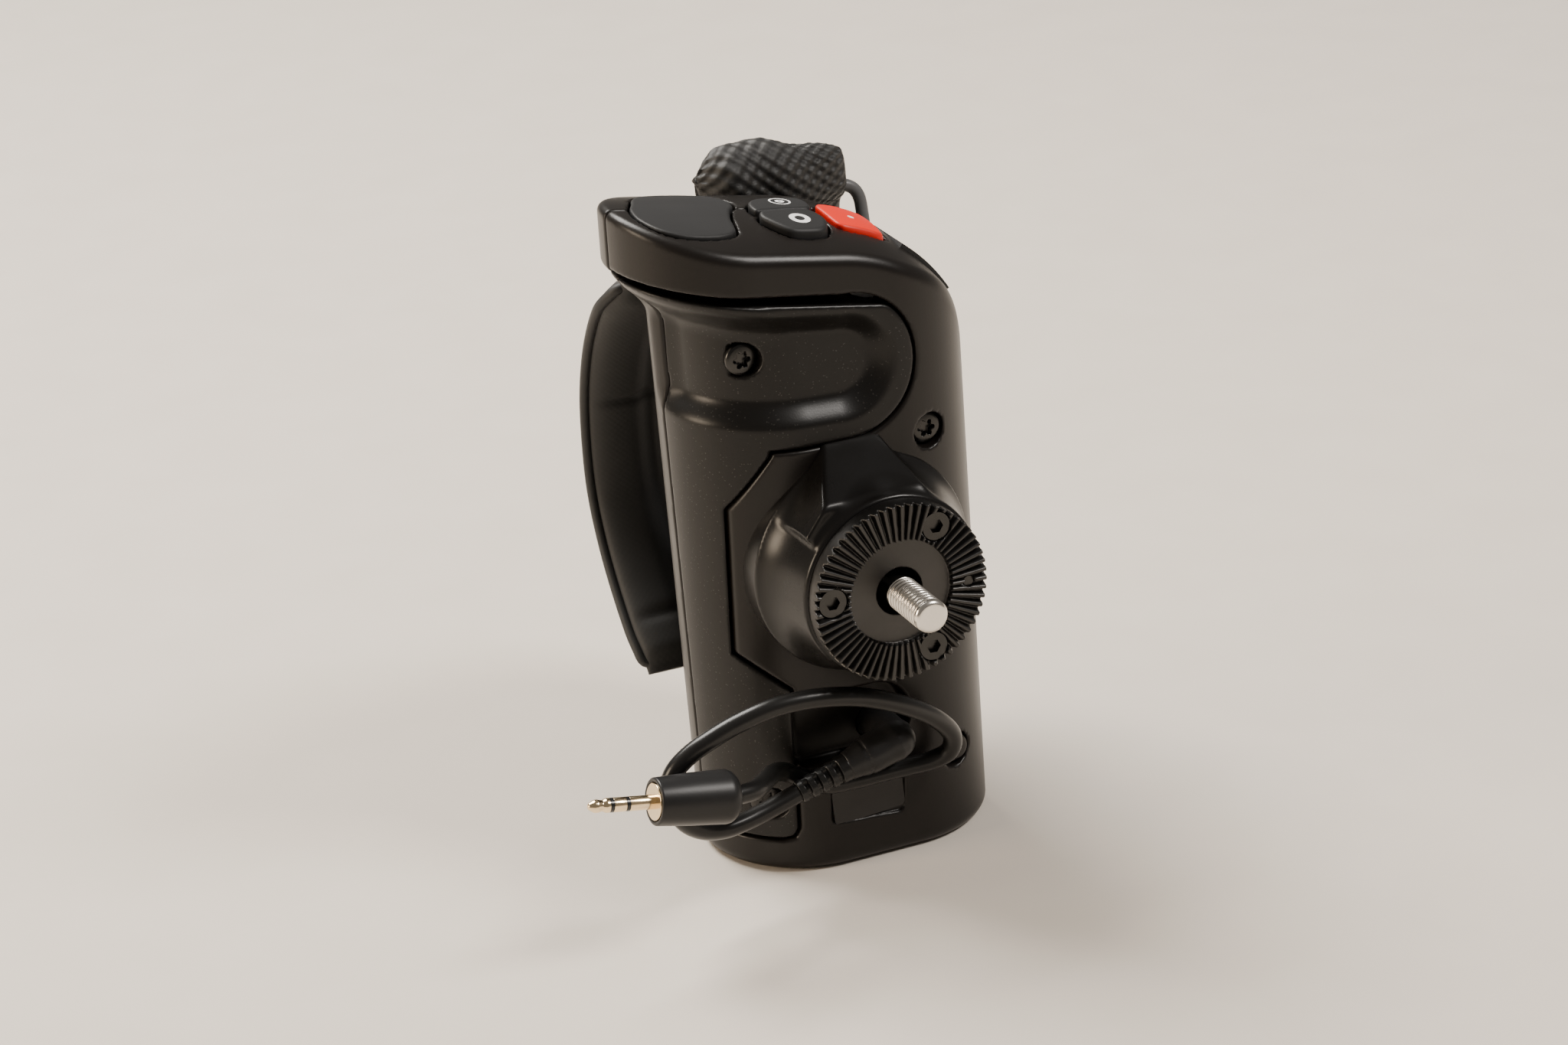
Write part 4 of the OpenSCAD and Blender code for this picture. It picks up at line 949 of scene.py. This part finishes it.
for which, node, rides in (("top", "top_strap_ring", "top_ring"),
                           ("low", "low_strap_ring", "low_ring")):
    corners = [(RING_LEFT + 8, 0), (RING_LEFT, 0), (RING_LEFT, RING_ARM),
               (RING_RIGHT, RING_ARM), (RING_RIGHT, 0), (RING_RIGHT - 8, 0)]
    wire = rolled([ring_point(which, *c) for c in corners], 4.2, 12)
    wire = resampled(wire, np.linspace(0, lengths(wire)[-1], 180))
    make(which + "_ring_wire", *capped(tube_rings(wire, RING_R, 20, (0, 0.97, -0.24))), rides,
         "ring_grey", (node,))


def flat_band(u, v):
    """A band that lies on its line: no shift, no lift and its full width."""
    return 0 * u + 0 * v, 0 * u + 0 * v, 1 + 0 * u


def strip_mesh(name, line, width, rise, thick, node):
    """Band of webbing along a line, its width along X. rise(u, v) gives its shift along X, its
    lift off the line and its spread. The weave stands up on both faces and the edges close."""
    length = lengths(line)
    u = np.linspace(-0.5, 0.5, 56)[None, :]
    v = (length / length[-1])[:, None]
    along = unit(np.gradient(line, axis=0))
    out = unit(np.cross(along, (1, 0, 0)))
    shift, lift, spread = rise(u, v)
    middle = (line[:, None] + out[:, None] * lift[..., None]
              + np.array([1.0, 0, 0]) * (u * width * spread + shift)[..., None])
    across, down = np.gradient(middle, axis=1), np.gradient(middle, axis=0)
    out = unit(np.cross(down, across))
    uu, vv = u * width + 0 * v, length[:, None] + 0 * u
    weave = 0.13 * np.sin(np.pi * uu / THREAD_PITCH) * np.sin(np.pi * vv / THREAD_PITCH)
    edge = np.sqrt(np.clip(1 - (2 * np.abs(u)) ** 10, 0.0, 1))
    upper = middle + out * (thick / 2 * edge + weave * edge)[..., None]
    lower = middle - out * (thick / 2 * edge - weave * edge)[..., None]
    rings = np.concatenate([upper, lower[:, ::-1][:, 1:-1]], axis=1)
    points, faces = capped(rings[:, ::-1])
    flat = np.stack([uu, vv], -1)
    flat = np.concatenate([flat, flat[:, ::-1][:, 1:-1]], axis=1)[:, ::-1].reshape(-1, 2) * MM
    flat = np.vstack([flat, flat[0], flat[-1]])
    piece = make(name, points, faces, "grip", "webbing_black", (node,), flat)
    return piece, width, float(length[-1])


def webbing_line(points, step=0.33):
    """Smooth line through (Y, Z) points in the webbing's plane, resampled at an even step."""
    p = through([(WEBBING_X, y, z) for y, z in points], 12)
    return resampled(p, np.arange(0, lengths(p)[-1], step))


def crumple(u, v):
    """The loop bulges over the ring's bar, falls away at its left edge and has two soft folds."""
    bulge = np.sin(np.pi * np.clip(v, 0, 1))
    fall = -4.2 * smooth((u + 0.05) / 0.6) - 4.5 * smooth((-u - 0.28) / 0.25)
    folds = 0.45 * np.sin(9 * u + 6 * v + 0.8) + 0.25 * np.sin(17 * u - 9 * v)
    return -2.6 * bulge + 0 * u, (fall + folds) * bulge, 1 + 0.14 * bulge + 0 * u


def low_folds(u, v):
    """The lower loop is nearly flat, with slight waves across it."""
    return 0 * u, 0.15 * np.sin(9 * u + 4 * v), 1 + 0 * u


top_loop = webbing_line([
    (27.4, 98.9), (28.7, 103), (29.3, 108), (28.6, 115.4), (25.8, 119.4), (22.2, 119.6),
    (19.6, 116.0), (20.0, 110.0), (22.6, 106.6), (25.4, 105.0), (27.0, 102), (26.6, 99.2)])
low_loop = webbing_line([
    (27.4, 25.0), (28.6, 22.0), (28.2, 18.2), (25.6, 15.9), (22.6, 16.4), (21.2, 19.2),
    (22.6, 22.2), (25.0, 23.0), (26.4, 25.4)])
top_web = strip_mesh("top_web_loop", top_loop, WEBBING_WIDTH, crumple, WEBBING_THICK,
                     "top_webbing")
low_web = strip_mesh("low_web_loop", low_loop, WEBBING_WIDTH, low_folds, WEBBING_THICK,
                     "low_webbing")

# ---- padded strap
PAD_LINE = [(27.5, 98.4), (30.5, 95.5), (36, 89.5), (41, 81.5), (44.3, 72), (45.2, 62),
            (44.4, 53), (41, 44.5), (36.5, 37.5), (31.5, 31.5), (27.4, 27), (25.3, 23.8)]


def pad_frame():
    """Even points along the strap's middle line, with the way out of its back at each."""
    p = through(PAD_LINE, 10)
    whole = lengths(p)[-1]
    at = np.linspace(0, whole, int(whole / PAD_STEP))
    p = resampled(p, at)
    along = unit(np.gradient(p, axis=0))
    return p, np.stack([-along[:, 1], along[:, 0]], 1), at


def drawn_in(s):
    """Share of the pad's full width, a little less towards its ends."""
    return 1 - 0.10 * smooth((0.10 - s) / 0.10) - 0.03 * smooth((s - 0.9) / 0.1)


def strap_pad():
    """Cushioned band: a crowned lens section carried along the strap's line, drawn in at both
    ends, at its bound edges, along two sewn channels and at two cross seams."""
    p, out, at = pad_frame()
    s = (at / at[-1])[:, None]
    angle = np.linspace(0, 2 * np.pi, 112, endpoint=False)[None, :]
    c, h = np.cos(angle), np.sin(angle)
    across = np.sign(c) * np.abs(c) ** 0.62
    half = PAD_HALF * drawn_in(s)
    height = np.sign(h) * np.abs(h) ** 0.72
    tight = 1 - 0.55 * smooth((0.05 - s) / 0.05) - 0.55 * smooth((s - 0.95) / 0.05)
    z_here = p[:, 1][:, None]
    seams = sum(np.exp(-((z_here - z) / 0.9) ** 2) for z in (71.5, 31.5))
    channel = sum(np.exp(-((across * PAD_HALF + side) / 2.2) ** 2) for side in (13, -13))
    thick = PAD_THICK * tight * (1 - 0.28 * np.maximum(seams, 0) * (1 - across ** 4))
    thick = thick * (1 - 0.42 * channel)
    bulge = 0.25 * np.sin(across * 3.1 + s * 9) * (1 - across ** 2)
    x = PAD_X + across * half
    off = height * thick + bulge
    rings = np.stack([x + 0 * off, p[:, 0][:, None] + out[:, 0][:, None] * off,
                      p[:, 1][:, None] + out[:, 1][:, None] * off], -1)
    points, faces = capped(rings[:, ::-1])
    flat = np.stack([np.broadcast_to(across * half, off.shape),
                     np.broadcast_to(at[:, None], off.shape)], -1)[:, ::-1].reshape(-1, 2) * MM
    return points, faces, np.vstack([flat, flat[0], flat[-1]])


points, faces, flat = strap_pad()
pad = make("hand_pad", points, faces, "grip", "pad_black", ("strap_pad",), flat)

line, out, at = pad_frame()
s = at / at[-1]
half = (PAD_HALF + 0.3) * drawn_in(s)
right_edge = np.stack([PAD_X + half, line[:, 0], line[:, 1]], 1)
left_edge = np.stack([PAD_X - half, line[:, 0], line[:, 1]], 1)[::-1]
round_edge = rolled(np.vstack([right_edge[3:-3:4], left_edge[3:-3:4], right_edge[3:4]]), 4, 5)
binding_rings = tube_rings(round_edge, 1.0, 14, (0.13, 0.97, 0.2))
make("pad_binding", binding_rings.reshape(-1, 3),
     grid_faces(len(round_edge), 14, closed_rows=True, closed_columns=True), "grip",
     "webbing_black", finish="binding_black")

band_line = line + out * BAND_OUT
covered = (s > 0.05) & (s < 0.93)
back_band = strip_mesh("back_band", webbing_line(band_line[covered][::3], 0.4), BAND_WIDTH,
                       flat_band, BAND_THICK, "strap_flap")

# ---- floor and light
floor_mesh = bpy.data.meshes.new("floor")
floor_mesh.from_pydata([(-3, -3, 0), (3, -3, 0), (3, 3, 0), (-3, 3, 0)], [], [(0, 1, 2, 3)])
floor = bpy.data.objects.new("floor", floor_mesh)
bpy.context.scene.collection.objects.link(floor)
floor_paint = moulding("pale_floor", (0.62, 0.56, 0.49), (0.66, 0.60, 0.53), 0.6, 300, 0.0001)
floor_mesh.materials.append(floor_paint)

world = bpy.data.worlds.new("room")
bpy.context.scene.world = world
world.use_nodes = True
world.node_tree.nodes["Background"].inputs["Color"].default_value = (1.0, 0.93, 0.85, 1)
world.node_tree.nodes["Background"].inputs["Strength"].default_value = 0.2


def soft_light(name, place, aim, size, power, colour):
    """Square soft light at a place, turned to face a point."""
    data = bpy.data.lights.new(name, "AREA")
    data.shape, data.size, data.energy, data.color = "SQUARE", size, power, colour
    light = bpy.data.objects.new(name, data)
    bpy.context.scene.collection.objects.link(light)
    light.location = place
    direction = Vector(aim) - Vector(place)
    light.rotation_euler = direction.to_track_quat("-Z", "Y").to_euler()


soft_light("overhead", (-0.25, 0.6, 0.95), (0, 0, 0.07), 0.6, 27, (1.0, 0.96, 0.9))
soft_light("left_fill", (-0.85, 0.1, 0.3), (0, 0, 0.06), 0.3, 5, (1.0, 0.82, 0.62))
soft_light("front_right", (0.6, -0.5, 0.95), (0, 0, 0.06), 0.3, 13, (1.0, 0.95, 0.9))
